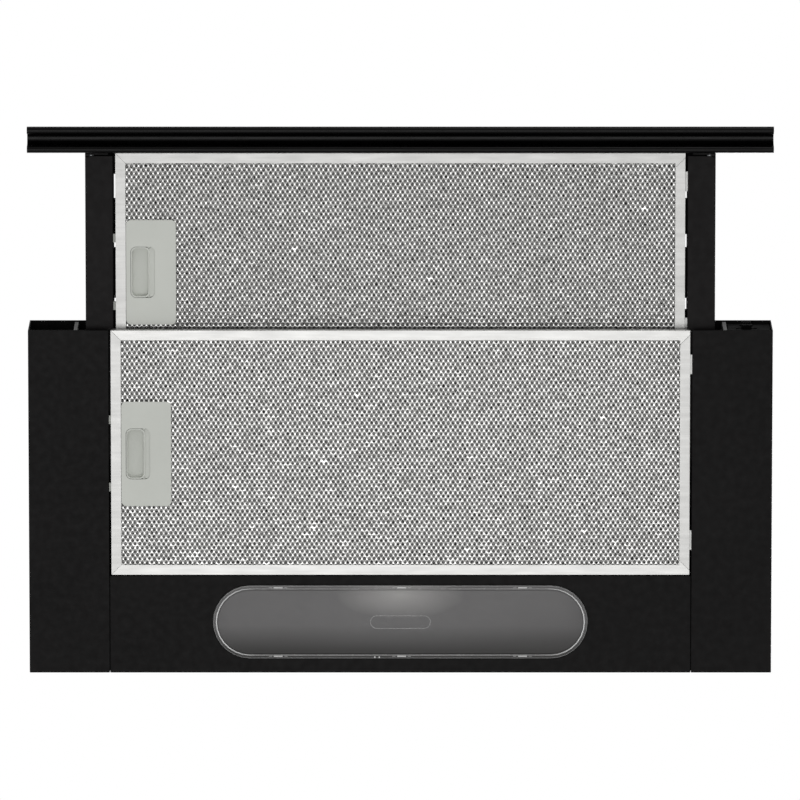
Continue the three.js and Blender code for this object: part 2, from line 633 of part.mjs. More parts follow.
function microswitch() {
  const body = block(
    around(SWITCH_X, 10), [SWITCH_FRONT, SWITCH_FRONT + SWITCH_DEPTH], [SWITCH_Z - 8.5, PLATE_UNDERSIDE]);
  const wellWidth = PLUNGER_WIDTH + 2 * GAP;
  const well = block(
    around(SWITCH_X, wellWidth), [SWITCH_FRONT - 1, SWITCH_FRONT + 6], around(SWITCH_Z, wellWidth));
  return cut(body, well);
}

function plunger() {
  return block(
    around(SWITCH_X, PLUNGER_WIDTH), [PLUNGER_TIP, SWITCH_FRONT + 3], around(SWITCH_Z, PLUNGER_WIDTH));
}

// ---------------------------------------------------------------- drawer
const FASCIA_LIP = 2.8;
const GROOVE_DEPTH = 12;
const FASCIA_WALL = 2;
const FASCIA_SCREW_X = 248.4;
const FASCIA_SCREW_Z = -36;
const FASCIA_SCREW_RADIUS = 1.5;
const COVER_DEPTH = 200;
const COVER_NOTCHES = [[22.5, 42], [71.5, 82], [123.5, 132.5]];

// The handle extrusion: two rounded lips with a finger groove between them, a hollowed front and a
// hollow core.
function fasciaOutline() {
  const depth = FASCIA_DEPTH;
  const lip = FASCIA_LIP;
  const bottom = BODY_BOTTOM;
  const top = BODY_BOTTOM + FASCIA_HEIGHT;
  const lipLine = bottom + lip;
  const grooveTop = bottom + GROOVE_DEPTH;
  const shape = new THREE.Shape();
  shape.moveTo(0, top);
  shape.lineTo(-depth + 7, top);
  shape.absarc(-depth + 7, top - 2, 2, Math.PI / 2, Math.PI, false);
  shape.quadraticCurveTo(-depth + 6.5, bottom + 14, -depth, lipLine + 2);
  shape.absarc(-depth + lip, lipLine, lip, Math.PI, 2 * Math.PI, false);
  shape.bezierCurveTo(
    -depth + 2 * lip, grooveTop - 3, -depth + 2 * lip + 1, grooveTop, -depth / 2, grooveTop);
  shape.bezierCurveTo(-2 * lip - 1, grooveTop, -2 * lip, grooveTop - 3, -2 * lip, lipLine);
  shape.absarc(-lip, lipLine, lip, Math.PI, 2 * Math.PI, false);
  shape.closePath();
  const core = new THREE.Path();
  core.moveTo(-FASCIA_WALL, top - FASCIA_WALL);
  core.lineTo(-FASCIA_WALL, grooveTop + 4.5);
  core.lineTo(-depth + 10, grooveTop + 4.5);
  core.lineTo(-depth + 7.5, top - FASCIA_WALL);
  core.closePath();
  shape.holes.push(core);
  return shape;
}

function fascia() {
  const bar = profileAlongX(fasciaOutline(), [-HALF_WIDTH, HALF_WIDTH], 8);
  const screwHoles = [-1, 1].map((side) => rodAlongY(
    FASCIA_SCREW_RADIUS + GAP, [-7, 1], side * FASCIA_SCREW_X, FASCIA_SCREW_Z, 16));
  return cut(bar, ...screwHoles);
}

// A side channel: wide bottom flange, outer web, narrow top flange and a low lip that holds the filter.
function post(side) {
  const depth = [POST_FRONT_LOCAL, POST_REAR_LOCAL];
  const bottomFlange = block(onSide(side, POST_INNER, POST_OUTER), depth, [POST_BOTTOM, POST_BOTTOM + SHEET]);
  const web = block(onSide(side, POST_OUTER - POST_WEB, POST_OUTER), depth, [POST_BOTTOM, POST_TOP]);
  const topFlange = block(onSide(side, POST_INNER + 10, POST_OUTER), depth, [POST_TOP - SHEET, POST_TOP]);
  const filterCatch = block(
    onSide(side, POST_INNER, POST_INNER + SHEET), depth, [POST_BOTTOM, FRONT_FILTER_Z + 1.7]);
  return join(bottomFlange, web, topFlange, filterCatch);
}

// A plastic block on the post's rear end that runs inside the guide rail.
function glide(side) {
  const rear = POST_REAR_LOCAL - 1;
  return block(
    onSide(side, POST_OUTER + GAP, RAIL_WEB - 0.6), [rear - 24, rear],
    [RAIL_BOTTOM + RAIL_THICKNESS + 0.5, RAIL_TOP - RAIL_THICKNESS - 0.5]);
}

// A cross rail between the posts; its ears hang lower than its middle, which clears the filter.
function drawerFrontRail() {
  const depth = [POST_FRONT_LOCAL, POST_FRONT_LOCAL + POST_WEB];
  const reach = POST_OUTER - POST_WEB - GAP;
  const top = POST_TOP - SHEET - GAP;
  const earBottom = POST_BOTTOM + SHEET + GAP;
  const middle = block([-reach, reach], depth, [FRONT_FILTER_Z + FILTER_THICKNESS + GAP, top]);
  const ears = [-1, 1].map((side) => block(onSide(side, POST_INNER + 4, reach), depth, [earBottom, top]));
  const holes = [-1, 1].map((side) => rodAlongY(
    FASCIA_SCREW_RADIUS + GAP, [0, 5], side * FASCIA_SCREW_X, FASCIA_SCREW_Z, 16));
  return cut(join(middle, ...ears), ...holes);
}

function drawerRearRail() {
  const front = POST_FRONT_LOCAL + FRONT_FILTER_DEPTH + 1;
  const reach = POST_OUTER - POST_WEB - GAP;
  return block(
    [-reach, reach], [front, front + POST_WEB], [FRONT_FILTER_Z + 2.5, POST_TOP - SHEET - GAP]);
}

// The sheet over the drawer; notches along its sides leave tabs that rest on the posts.
function drawerCover() {
  const half = POST_OUTER - 2;
  const height = [POST_TOP + GAP, POST_TOP + GAP + SHEET];
  const sheet = block([-half, half], [POST_FRONT_LOCAL, COVER_DEPTH], height);
  const notches = SIDES.flatMap(([, side]) => COVER_NOTCHES.map((span) => block(
    onSide(side, POST_INNER - 3, POST_INNER + 10), span, [height[0] - 1, height[1] + 1])));
  return cut(sheet, ...notches);
}

function fasciaScrew(side) {
  const x = side * FASCIA_SCREW_X;
  const shank = rodAlongY(FASCIA_SCREW_RADIUS, [-6, POST_FRONT_LOCAL + POST_WEB + 1], x, FASCIA_SCREW_Z, 16);
  const headFront = POST_FRONT_LOCAL + POST_WEB + GAP;
  const head = rodAlongY(2.8, [headFront, headFront + 2.2], x, FASCIA_SCREW_Z, 16);
  return join(shank, head);
}

// ---------------------------------------------------------------- grease filters
const REAR_FILTER_Z = BODY_BOTTOM + 0.5;
const FRONT_FILTER_Z = -38.5;
const FRAME_BORDER = 8;
const FRAME_WALL = 1;
const FACE_MESH_THICKNESS = 1.6;
const TONGUE_REACH = 3.6;
const TONGUE_WIDTH = 16;
const BOLT_LEVEL = [2.2, 3.7];
const BOLT_WIDTH = 7;
const BOLT_SPREAD = 27.5;
const BOLT_ARM_REACH = BOLT_SPREAD + BOLT_WIDTH / 2;
const PLATE_WIDTH = 40;
const PLATE_LENGTH = 85;
const WINDOW_OFFSET = 3.6;
const WINDOW_WIDTH = 19.5;
const WINDOW_LENGTH = 41.5;
const CUP_WIDTH = 15;
const CUP_TOP = 6.4;
const CUP_WALL = 1;
const SHUTTER_LEVEL = [1.3, 1.9];
const ARM_START = 2;
const ARM_WIDTH = 4;
const LATCH_TRAVEL = 4;
const FRONT_LATCH_OFFSET = 14.1;
const REAR_LATCH_OFFSET = 0.9;
const BOLT_CATCH = 2.2;

// Folded channel around the mesh, with slots for the two latch bolts and two tongues on the other side.
function filterFrame(width, depth, latchY) {
  const x = width / 2;
  const y = depth / 2;
  const outside = block([-x, x], [-y, y], [0, FILTER_THICKNESS]);
  const window = block(
    [-x + FRAME_BORDER, x - FRAME_BORDER], [-y + FRAME_BORDER, y - FRAME_BORDER], [-1, FILTER_THICKNESS + 1]);
  const channel = block(
    [-x + FRAME_WALL, x - FRAME_WALL], [-y + FRAME_WALL, y - FRAME_WALL],
    [FRAME_WALL, FILTER_THICKNESS - FRAME_WALL]);
  const boltSlots = [-1, 1].map((end) => block(
    [-x - 1, -x + 2], around(latchY + end * BOLT_SPREAD, BOLT_WIDTH + 1),
    [BOLT_LEVEL[0] - 0.3, BOLT_LEVEL[1] + 0.3]));
  const tongues = [-1, 1].map((end) => block(
    [x - FRAME_WALL / 2, x + TONGUE_REACH], around(end * depth * 0.36, TONGUE_WIDTH), [2.2, 3.4]));
  return join(cut(outside, window, channel, ...boltSlots), ...tongues);
}

// A rectangle of mesh inside the channel, cut back around the latch.
function meshLayer(width, depth, latchY, [z0, z1]) {
  const x = width / 2 - FRAME_WALL - GAP;
  const y = depth / 2 - FRAME_WALL - GAP;
  const windowRight = -width / 2 + FRAME_BORDER + GAP + WINDOW_OFFSET + WINDOW_WIDTH;
  const latchRight = windowRight + CUP_WALL + LATCH_TRAVEL + 2 * GAP;
  const sheet = block([-x, x], [-y, y], [z0, z1]);
  const clearance = block([-x - 1, latchRight], around(latchY, 2 * BOLT_ARM_REACH + 2), [z0 - 1, z1 + 1]);
  return cut(sheet, clearance);
}

// A rounded cover plate with a finger window; behind its free end a low wall leaves room for the shutter.
function latchPlate(left, latchY) {
  const windowLeft = left + WINDOW_OFFSET;
  const windowRight = windowLeft + WINDOW_WIDTH;
  const armStop = windowLeft + GAP + ARM_START + ARM_WIDTH + LATCH_TRAVEL + 0.5;
  const wallHeight = [FRAME_WALL / 2, CUP_TOP + 0.2];
  const plate = profileAlongZ(roundedRectangle(PLATE_WIDTH, PLATE_LENGTH, 4), [0, FRAME_WALL], 6);
  plate.translate(left + PLATE_WIDTH / 2, latchY, 0);
  const window = profileAlongZ(roundedRectangle(WINDOW_WIDTH, WINDOW_LENGTH, 4.5), [-1, CUP_TOP + 1], 6);
  window.translate(windowLeft + WINDOW_WIDTH / 2, latchY, 0);
  const endWall = block(
    [windowRight, windowRight + CUP_WALL], around(latchY, WINDOW_LENGTH + 2 * CUP_WALL),
    [SHUTTER_LEVEL[1] + GAP, wallHeight[1]]);
  const sideWalls = [-1, 1].map((end) => block(
    [armStop, windowRight + CUP_WALL], around(latchY + end * (WINDOW_LENGTH + CUP_WALL) / 2, CUP_WALL),
    wallHeight));
  return join(cut(plate, window), endWall, ...sideWalls);
}

// The finger cup, open downwards, with an arm at each end that carries a bolt out past the frame,
// and a shutter on its right that closes the rest of the window.
function latchSlider(left, latchY, boltEnd) {
  const cupLeft = left + WINDOW_OFFSET + GAP;
  const length = WINDOW_LENGTH - 2 * GAP;
  const outside = profileAlongZ(roundedRectangle(CUP_WIDTH, length, 4), [0.2, CUP_TOP], 6);
  const pocket = profileAlongZ(
    roundedRectangle(CUP_WIDTH - 2 * CUP_WALL, length - 2 * CUP_WALL, 3.5), [-1, CUP_TOP - CUP_WALL], 6);
  const cup = cut(outside, pocket).translate(cupLeft + CUP_WIDTH / 2, latchY, 0);
  const armRight = cupLeft + ARM_START + ARM_WIDTH;
  const armInner = length / 2 - 0.75 * CUP_WALL;
  const arms = [-1, 1].flatMap((end) => [
    block(
      [cupLeft + ARM_START, armRight],
      around(latchY + end * (armInner + BOLT_ARM_REACH) / 2, BOLT_ARM_REACH - armInner), BOLT_LEVEL),
    block([boltEnd, armRight], around(latchY + end * BOLT_SPREAD, BOLT_WIDTH), BOLT_LEVEL),
  ]);
  const cupRight = cupLeft + CUP_WIDTH;
  const shutterRight = left + WINDOW_OFFSET + WINDOW_WIDTH + 0.5;
  const shutter = block(
    [cupRight - CUP_WALL / 2, shutterRight], around(latchY, length - 2 * GAP), SHUTTER_LEVEL);
  return join(cup, shutter, ...arms);
}

function addFilter(name, width, depth, latchY, boltEnd, centreY, bottomZ) {
  const group = subassembly(0, centreY, bottomZ);
  const faceTop = FRAME_WALL + GAP + FACE_MESH_THICKNESS;
  const plateLeft = -width / 2 + FRAME_BORDER + GAP;
  const packSpan = [faceTop + GAP, FILTER_THICKNESS - FRAME_WALL - GAP];
  place(group, `${name}_frame`, filterFrame(width, depth, latchY), bareAluminium);
  place(
    group, `${name}_face_mesh`, meshLayer(width, depth, latchY, [FRAME_WALL + GAP, faceTop]), meshAluminium);
  place(group, `${name}_mesh_pack`, meshLayer(width, depth, latchY, packSpan), meshAluminium);
  place(group, `${name}_latch_plate`, latchPlate(plateLeft, latchY), latchPlastic);
  place(group, `${name}_latch_slider`, latchSlider(plateLeft, latchY, boltEnd), latchPlastic);
}

// ---------------------------------------------------------------- assembly
function addLowerBody() {
  const group = subassembly();
  place(group, 'top_plate', topPlate(), blackPaint);
  place(group, 'light_panel', lightPanel(), blackPaint);
  for (const [word, side] of SIDES) {
    place(group, `${word}_wing`, wing(side), blackPaint);
    place(group, `${word}_guide_rail`, guideRail(side), galvanisedSteel);
    place(group, `${word}_front_guide`, frontGuide(side), guidePlastic);
  }
  place(group, 'microswitch', microswitch(), blackPlastic);
  place(group, 'microswitch_plunger', plunger(), whitePlastic);
}

function addLamps() {
  const group = subassembly();
  place(group, 'lamp_housing', lampHousing(), whitePlastic);
  for (const [word, side] of SIDES) {
    place(group, `${word}_lampholder`, lampHolder(side), whitePlastic);
    place(group, `${word}_lamp`, lamp(side), lampGlass);
  }
  place(group, 'lamp_lens', lens(), smokyPlastic);
}

function addControls() {
  const group = subassembly();
  place(group, 'control_plate', controlPlate(), blackPlastic);
  place(group, 'fan_speed_slider', switchSlider(FAN_SLIDER_Z), blackPlastic);
  place(group, 'light_slider', switchSlider(LIGHT_SLIDER_Z), blackPlastic);
  place(group, 'switch_block', switchBlock(), blackPlastic);
}

function addMotorBox() {
  const group = subassembly();
  place(group, 'motor_box', motorBox(), blackPaint);
  place(group, 'outlet_spigot', outletSpigot(), blackPlastic);
  place(group, 'flap_pin', flapPin(), polishedSteel);
  place(group, 'front_flap', flap(-1), blackPlastic);
  place(group, 'rear_flap', flap(1), blackPlastic);
  place(group, 'cable_gland', cableGland(), blackPlastic);
}

function addBlower() {
  const group = subassembly();
  for (const [word, side] of SIDES) {
    place(group, `${word}_scroll_half`, scrollHalf(side), blackPlastic);
  }
  place(group, 'impeller', impeller(), whitePlastic);
  place(group, 'motor_shaft', motorShaft(), polishedSteel);
  place(group, 'motor', motorCan(), galvanisedSteel);
  place(group, 'motor_bracket', motorBracket(), galvanisedSteel);
  place(group, 'capacitor', capacitor(), capacitorCase);
  place(group, 'terminal_box', terminalBox(), whitePlastic);
  place(group, 'terminal_lid', terminalLid(), whitePlastic);
}

function addDrawer() {
  const group = subassembly(0, DRAWER_Y, 0);
  place(group, 'fascia', fascia(), blackAnodised);
  place(group, 'drawer_front_rail', drawerFrontRail(), blackPaint);
  place(group, 'drawer_rear_rail', drawerRearRail(), blackPaint);
  place(group, 'drawer_cover', drawerCover(), blackPaint);
  for (const [word, side] of SIDES) {
    place(group, `${word}_post`, post(side), blackPaint);
    place(group, `${word}_glide`, glide(side), guidePlastic);
    place(group, `${word}_fascia_screw`, fasciaScrew(side), galvanisedSteel);
  }
}

function addFilters() {
  const frontCentre = DRAWER_Y + POST_FRONT_LOCAL + 0.2 + FRONT_FILTER_DEPTH / 2;
  const rearCentre = (REAR_FILTER_FRONT + REAR_FILTER_REAR) / 2;
  addFilter(
    'front_filter', FRONT_FILTER_WIDTH, FRONT_FILTER_DEPTH, FRONT_LATCH_OFFSET, -POST_INNER - BOLT_CATCH,
    frontCentre, FRONT_FILTER_Z);
  addFilter(
    'rear_filter', REAR_FILTER_WIDTH, REAR_FILTER_DEPTH, REAR_LATCH_OFFSET, -WING_INNER - BOLT_CATCH,
    rearCentre, REAR_FILTER_Z);
}

addLowerBody();
addLamps();
addControls();
addMotorBox();
addBlower();
addDrawer();
addFilters();

export default hood;
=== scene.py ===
"""Looks for the under-cabinet range hood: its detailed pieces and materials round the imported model.

Metres, in the model's frame: +X along the front edge, +Y back to the wall, +Z up into the cabinet.
Sizes given in millimetres are multiplied by MM. The hood is seen from below, with its drawer out.
"""
import json
import math
import random

import bmesh
import bpy
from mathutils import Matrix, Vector

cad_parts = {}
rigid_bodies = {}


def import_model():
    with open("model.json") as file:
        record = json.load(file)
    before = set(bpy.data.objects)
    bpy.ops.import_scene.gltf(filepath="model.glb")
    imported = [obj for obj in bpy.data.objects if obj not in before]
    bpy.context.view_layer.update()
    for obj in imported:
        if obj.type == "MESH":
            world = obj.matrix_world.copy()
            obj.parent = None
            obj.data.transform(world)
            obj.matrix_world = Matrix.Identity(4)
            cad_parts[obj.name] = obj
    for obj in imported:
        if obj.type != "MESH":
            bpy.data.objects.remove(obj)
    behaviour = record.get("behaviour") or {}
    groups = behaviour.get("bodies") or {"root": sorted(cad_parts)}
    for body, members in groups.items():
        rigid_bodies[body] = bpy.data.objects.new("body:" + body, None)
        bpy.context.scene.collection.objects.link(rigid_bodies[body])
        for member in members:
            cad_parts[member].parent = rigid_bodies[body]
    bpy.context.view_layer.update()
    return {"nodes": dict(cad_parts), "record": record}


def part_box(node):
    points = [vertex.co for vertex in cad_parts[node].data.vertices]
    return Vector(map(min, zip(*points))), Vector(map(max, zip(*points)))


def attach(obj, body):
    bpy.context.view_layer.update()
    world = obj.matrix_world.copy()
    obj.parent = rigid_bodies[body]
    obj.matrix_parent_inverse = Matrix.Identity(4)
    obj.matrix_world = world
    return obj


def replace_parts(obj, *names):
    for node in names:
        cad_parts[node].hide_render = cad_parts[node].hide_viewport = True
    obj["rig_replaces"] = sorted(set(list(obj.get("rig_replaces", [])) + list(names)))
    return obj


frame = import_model()
MM = 0.001
scene = bpy.context.scene
dice = random.Random(7)

# ------------------------------------------------------------------ camera, floor and light
CAMERA_TARGET = Vector((-0.0003, 0.0443, -0.050))
CAMERA_DISTANCE = 9.0
CAMERA_TILT = math.radians(80.2)
VIEW_WIDTH = 0.6427
SENSOR_WIDTH = 36.0
FLOOR_Z = -16.0
FLOOR_REACH = 400.0
SKY_BRIGHTNESS = 1.0
FILL_BRIGHTNESS = 0.5
SOFT_BOXES = (
    ("light_below", (-0.1, 0.35, -2.6), 1.5, 18),
    ("light_front", (0.6, -2.4, -0.9), 1.2, 9),
    ("light_left", (-2.4, 0.3, -0.8), 1.0, 8),
    ("light_above", (1.4, 1.3, 2.4), 1.8, 110),
    ("light_behind", (-1.8, 2.3, 1.3), 1.8, 140),
)


def make_camera():
    """A long lens from below, tipped towards the front edge, as in the picture."""
    data = bpy.data.cameras.new("camera")
    data.sensor_width = SENSOR_WIDTH
    data.lens = SENSOR_WIDTH * CAMERA_DISTANCE / VIEW_WIDTH
    data.clip_start = 0.1
    data.clip_end = 1000.0
    back = Vector((0, -math.cos(CAMERA_TILT), -math.sin(CAMERA_TILT)))
    camera = bpy.data.objects.new("camera", data)
    camera.location = CAMERA_TARGET + back * CAMERA_DISTANCE
    camera.rotation_mode = "QUATERNION"
    camera.rotation_quaternion = (-back).to_track_quat("-Z", "Y")
    scene.collection.objects.link(camera)
    scene.camera = camera


def make_world():
    """White behind the object, and a softer even light on it."""
    world = bpy.data.worlds.new("studio")
    scene.world = world
    world.use_nodes = True
    tree = world.node_tree
    background = tree.nodes["Background"]
    path = tree.nodes.new("ShaderNodeLightPath")
    strength = tree.nodes.new("ShaderNodeMapRange")
    strength.inputs["To Min"].default_value = FILL_BRIGHTNESS
    strength.inputs["To Max"].default_value = SKY_BRIGHTNESS
    tree.links.new(path.outputs["Is Camera Ray"], strength.inputs["Value"])
    tree.links.new(strength.outputs["Result"], background.inputs["Strength"])
    background.inputs["Color"].default_value = (1.0, 1.0, 1.0, 1.0)
    scene.view_settings.view_transform = "Standard"


def make_light(name, location, size, power):
    """A square soft box aimed at the hood: its width in metres and its power in watts."""
    data = bpy.data.lights.new(name, "AREA")
    data.shape = "SQUARE"
    data.size = size
    data.energy = power
    light = bpy.data.objects.new(name, data)
    light.location = location
    direction = CAMERA_TARGET - Vector(location)
    light.rotation_mode = "QUATERNION"
    light.rotation_quaternion = direction.to_track_quat("-Z", "Y")
    scene.collection.objects.link(light)


def make_floor():
    """A plain pale floor, so far down that the camera underneath the hood stands above it."""
    m = Recipe("pale_floor").fix(Specular_IOR_Level=0.2)
    m.colour(m.blend(m.noise(0.4, 3), (0.93, 0.93, 0.925), (0.96, 0.96, 0.955)))
    m.gloss(m.spread(m.noise(3.0, 3), 0.65, 0.8))
    m.relief(m.noise(60, 2), 0.05, 0.002)
    bm = bmesh.new()
    bmesh.ops.create_grid(bm, x_segments=1, y_segments=1, size=FLOOR_REACH)
    bmesh.ops.translate(bm, verts=bm.verts, vec=(0, 0, FLOOR_Z))
    mesh = bpy.data.meshes.new("floor")
    bm.to_mesh(mesh)
    bm.free()
    mesh.materials.append(m.material)
    floor = bpy.data.objects.new("floor", mesh)
    scene.collection.objects.link(floor)


# ------------------------------------------------------------------ material nodes
class Recipe:
    """One node material, built up from a Principled shader and textures in object space."""

    def __init__(self, name):
        self.material = bpy.data.materials.new(name)
        self.material.use_nodes = True
        self.tree = self.material.node_tree
        self.shader = self.tree.nodes["Principled BSDF"]
        self.coordinates = self.tree.nodes.new("ShaderNodeTexCoord")
        self.height = None

    def node(self, kind, **settings):
        """A new node with those settings."""
        made = self.tree.nodes.new(kind)
        for key, value in settings.items():
            setattr(made, key, value)
        return made

    def link(self, output, target):
        self.tree.links.new(output, target)

    def fix(self, **values):
        """Sets sockets of the shader itself; an underscore stands for a space."""
        for key, value in values.items():
            self.shader.inputs[key.replace("_", " ")].default_value = value
        return self

    def placed(self, stretch):
        """Object coordinates, stretched along the axes."""
        mapping = self.node("ShaderNodeMapping")
        mapping.inputs["Scale"].default_value = stretch
        self.link(self.coordinates.outputs["Object"], mapping.inputs["Vector"])
        return mapping.outputs["Vector"]

    def noise(self, scale, detail=3.0, stretch=(1, 1, 1), roughness=0.5):
        texture = self.node("ShaderNodeTexNoise")
        texture.inputs["Scale"].default_value = scale
        texture.inputs["Detail"].default_value = detail
        texture.inputs["Roughness"].default_value = roughness
        self.link(self.placed(stretch), texture.inputs["Vector"])
        return texture.outputs["Fac"]

    def cells(self, scale, feature="F1", output="Distance", stretch=(1, 1, 1)):
        texture = self.node("ShaderNodeTexVoronoi", feature=feature)
        texture.inputs["Scale"].default_value = scale
        self.link(self.placed(stretch), texture.inputs["Vector"])
        return texture.outputs[output]

    def axis(self, letter):
        """The place along X, Y or Z, in metres."""
        parts = self.node("ShaderNodeSeparateXYZ")
        self.link(self.coordinates.outputs["Object"], parts.inputs["Vector"])
        return parts.outputs[letter]

    def glow(self, centre, reach):
        """1 in the middle of a soft oval, falling to 0 at its rim."""
        mapping = self.node("ShaderNodeMapping", vector_type="TEXTURE")
        mapping.inputs["Location"].default_value = centre
        mapping.inputs["Scale"].default_value = reach
        self.link(self.coordinates.outputs["Object"], mapping.inputs["Vector"])
        oval = self.node("ShaderNodeTexGradient", gradient_type="SPHERICAL")
        self.link(mapping.outputs["Vector"], oval.inputs["Vector"])
        return oval.outputs["Fac"]

    def over(self, base, top, factor):
        """top laid over base where factor is high."""
        mixed = self.node("ShaderNodeMix", data_type="RGBA")
        self.link(factor, mixed.inputs["Factor"])
        self.link(base, mixed.inputs["A"])
        self.link(top, mixed.inputs["B"])
        return mixed.outputs["Result"]

    def spread(self, source, low, high, start=0.3, end=0.7):
        """A number that runs from low to high as the texture rises."""
        ranged = self.node("ShaderNodeMapRange")
        ranged.inputs["From Min"].default_value = start
        ranged.inputs["From Max"].default_value = end
        ranged.inputs["To Min"].default_value = low
        ranged.inputs["To Max"].default_value = high
        self.link(source, ranged.inputs["Value"])
        return ranged.outputs["Result"]

    def blend(self, source, first, second, start=0.3, end=0.7):
        """A colour that runs from first to second as the texture rises."""
        ramp = self.node("ShaderNodeValToRGB")
        ramp.color_ramp.elements[0].position = start
        ramp.color_ramp.elements[0].color = (*first, 1)
        ramp.color_ramp.elements[1].position = end
        ramp.color_ramp.elements[1].color = (*second, 1)
        self.link(source, ramp.inputs["Fac"])
        return ramp.outputs["Color"]

    def tinted(self, base, factor, amount, start=0.3, end=0.7):
        """base, darkened where the texture is low."""
        mixed = self.node("ShaderNodeMix", data_type="RGBA", blend_type="MULTIPLY")
        mixed.inputs["Factor"].default_value = amount
        self.link(base, mixed.inputs["A"])
        self.link(self.blend(factor, (0, 0, 0), (1, 1, 1), start, end), mixed.inputs["B"])
        return mixed.outputs["Result"]

    def colour(self, output):
        self.link(output, self.shader.inputs["Base Color"])
        return self

    def gloss(self, output):
        self.link(output, self.shader.inputs["Roughness"])
        return self

    def relief(self, source, strength, distance):
        """A layer of bump, added to the ones made before."""
        bump = self.node("ShaderNodeBump")
        bump.inputs["Strength"].default_value = strength
        bump.inputs["Distance"].default_value = distance
        self.link(source, bump.inputs["Height"])
        if self.height:
            self.link(self.height, bump.inputs["Normal"])
        self.height = bump.outputs["Normal"]
        self.link(self.height, self.shader.inputs["Normal"])
        return self


# ------------------------------------------------------------------ materials
LENS_LOW, LENS_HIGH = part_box("lamp_lens")
LENS_FACE_Z = LENS_LOW.z + 0.1 * MM


def scaled(colour, factor):
    """The colour, made lighter or darker."""
    return tuple(factor * part for part in colour)


def grey(value):
    """An even grey."""
    return (value, value, value)


def black_paint(name, paleness):
    """Powder coat: very dark, half matt, with a fine orange peel."""
    m = Recipe(name).fix(Specular_IOR_Level=0.11, IOR=1.45)
    dull = scaled((0.80, 0.69, 0.71), paleness)
    clean = scaled((1.20, 1.05, 1.07), paleness)
    m.colour(m.blend(m.noise(14, 4), dull, clean))
    m.gloss(m.spread(m.noise(160, 3), 0.42, 0.54))
    m.relief(m.noise(1100, 2), 0.10, 0.0002)
    return m.relief(m.noise(300, 2), 0.05, 0.0004).material


def black_anodised():
    """The drawn handle bar: darker and glossier, with drawing lines along it."""
    m = Recipe("black_anodised_bar").fix(Specular_IOR_Level=0.12, Anisotropic=0.3)
    lines = m.noise(700, 3, stretch=(0.01, 1, 1))
    m.colour(m.blend(lines, (0.0008, 0.0007, 0.0008), (0.0016, 0.0015, 0.0016)))
    m.gloss(m.spread(m.noise(60, 4), 0.20, 0.32))
    return m.relief(lines, 0.05, 0.0001).material


def bare_aluminium(name, paleness):
    """Folded mill-finish strip with fine rolling lines and faint handling marks."""
    m = Recipe(name).fix(Metallic=1.0, Anisotropic=0.25)
    lines = m.noise(900, 3, stretch=(0.03, 1, 1))
    marks = m.noise(26, 5)
    dull = scaled((0.98, 0.977, 0.958), paleness)
    clean = scaled((1.02, 1.017, 0.998), paleness)
    m.colour(m.tinted(m.blend(marks, dull, clean), lines, 0.08))
    m.gloss(m.spread(m.noise(220, 3, stretch=(0.2, 1, 1)), 0.43, 0.48))
    return m.relief(lines, 0.008, 0.0001).material


def mesh_aluminium(name, paleness):
    """Expanded strands: bright ridges, with the cut edges duller."""
    m = Recipe(name).fix(Metallic=1.0)
    grain = m.noise(700, 3)
    patch = m.noise(120, 3)
    dull = scaled((0.82, 0.817, 0.80), paleness)
    clean = scaled((1.12, 1.117, 1.10), paleness)
    m.colour(m.tinted(m.blend(grain, dull, clean, 0.35, 0.6), patch, 0.12))
    m.gloss(m.spread(m.noise(420, 2), 0.20, 0.36))
    return m.relief(grain, 0.25, 0.0002).material


def deep_mesh_painted_shade():
    """The second layer: duller, and painted much darker than the face mesh as the shade deep in the filter,
    with a patchy film of dust.
    """
    m = Recipe("deep_expanded_aluminium_painted_shade").fix(Metallic=0.9)
    grain = m.noise(500, 3)
    # painted shade: this layer's metal is far darker than the face mesh's
    metal = m.blend(grain, (0.11, 0.109, 0.107), (0.19, 0.188, 0.184))
    m.colour(m.tinted(metal, m.noise(90, 3), 0.3))
    m.gloss(m.spread(m.noise(300, 2), 0.30, 0.50))
    return m.relief(grain, 0.3, 0.0002).material


def mesh_pack_painted_shade():
    """The crumpled layers deeper in the filter: grey strands, painted darker away from them as shade in the
    cells, with painted shadow spots scattered between them.
    """
    m = Recipe("layered_mesh_painted_shade").fix(Metallic=0.7, Specular_IOR_Level=0.3)
    strands = m.cells(420, feature="DISTANCE_TO_EDGE", stretch=(0.8, 1, 1))
    shadow_spots = m.noise(330, 2, roughness=0.6)
    # painted shade: pale on the strands, darker towards the middle of each cell
    shaded = m.blend(strands, (0.38, 0.377, 0.370), (0.15, 0.149, 0.146), 0.05, 0.3)
    # painted shadow: nearly black spots scattered between the strands
    m.colour(m.tinted(shaded, shadow_spots, 0.97, 0.40, 0.47))
    m.gloss(m.spread(shadow_spots, 0.35, 0.6))
    return m.relief(strands, 0.6, 0.0006).material


def moulded_plastic(name, dark, light, roughness, grain=600, shine=0.4):
    """Moulded plastic with a spark-eroded grain and slow shade changes."""
    m = Recipe(name).fix(Specular_IOR_Level=shine)
    m.colour(m.blend(m.noise(18, 4), dark, light))
    m.gloss(m.spread(m.noise(grain / 3, 3), roughness - 0.06, roughness + 0.06))
    return m.relief(m.noise(grain, 3), 0.12, 0.0002).material


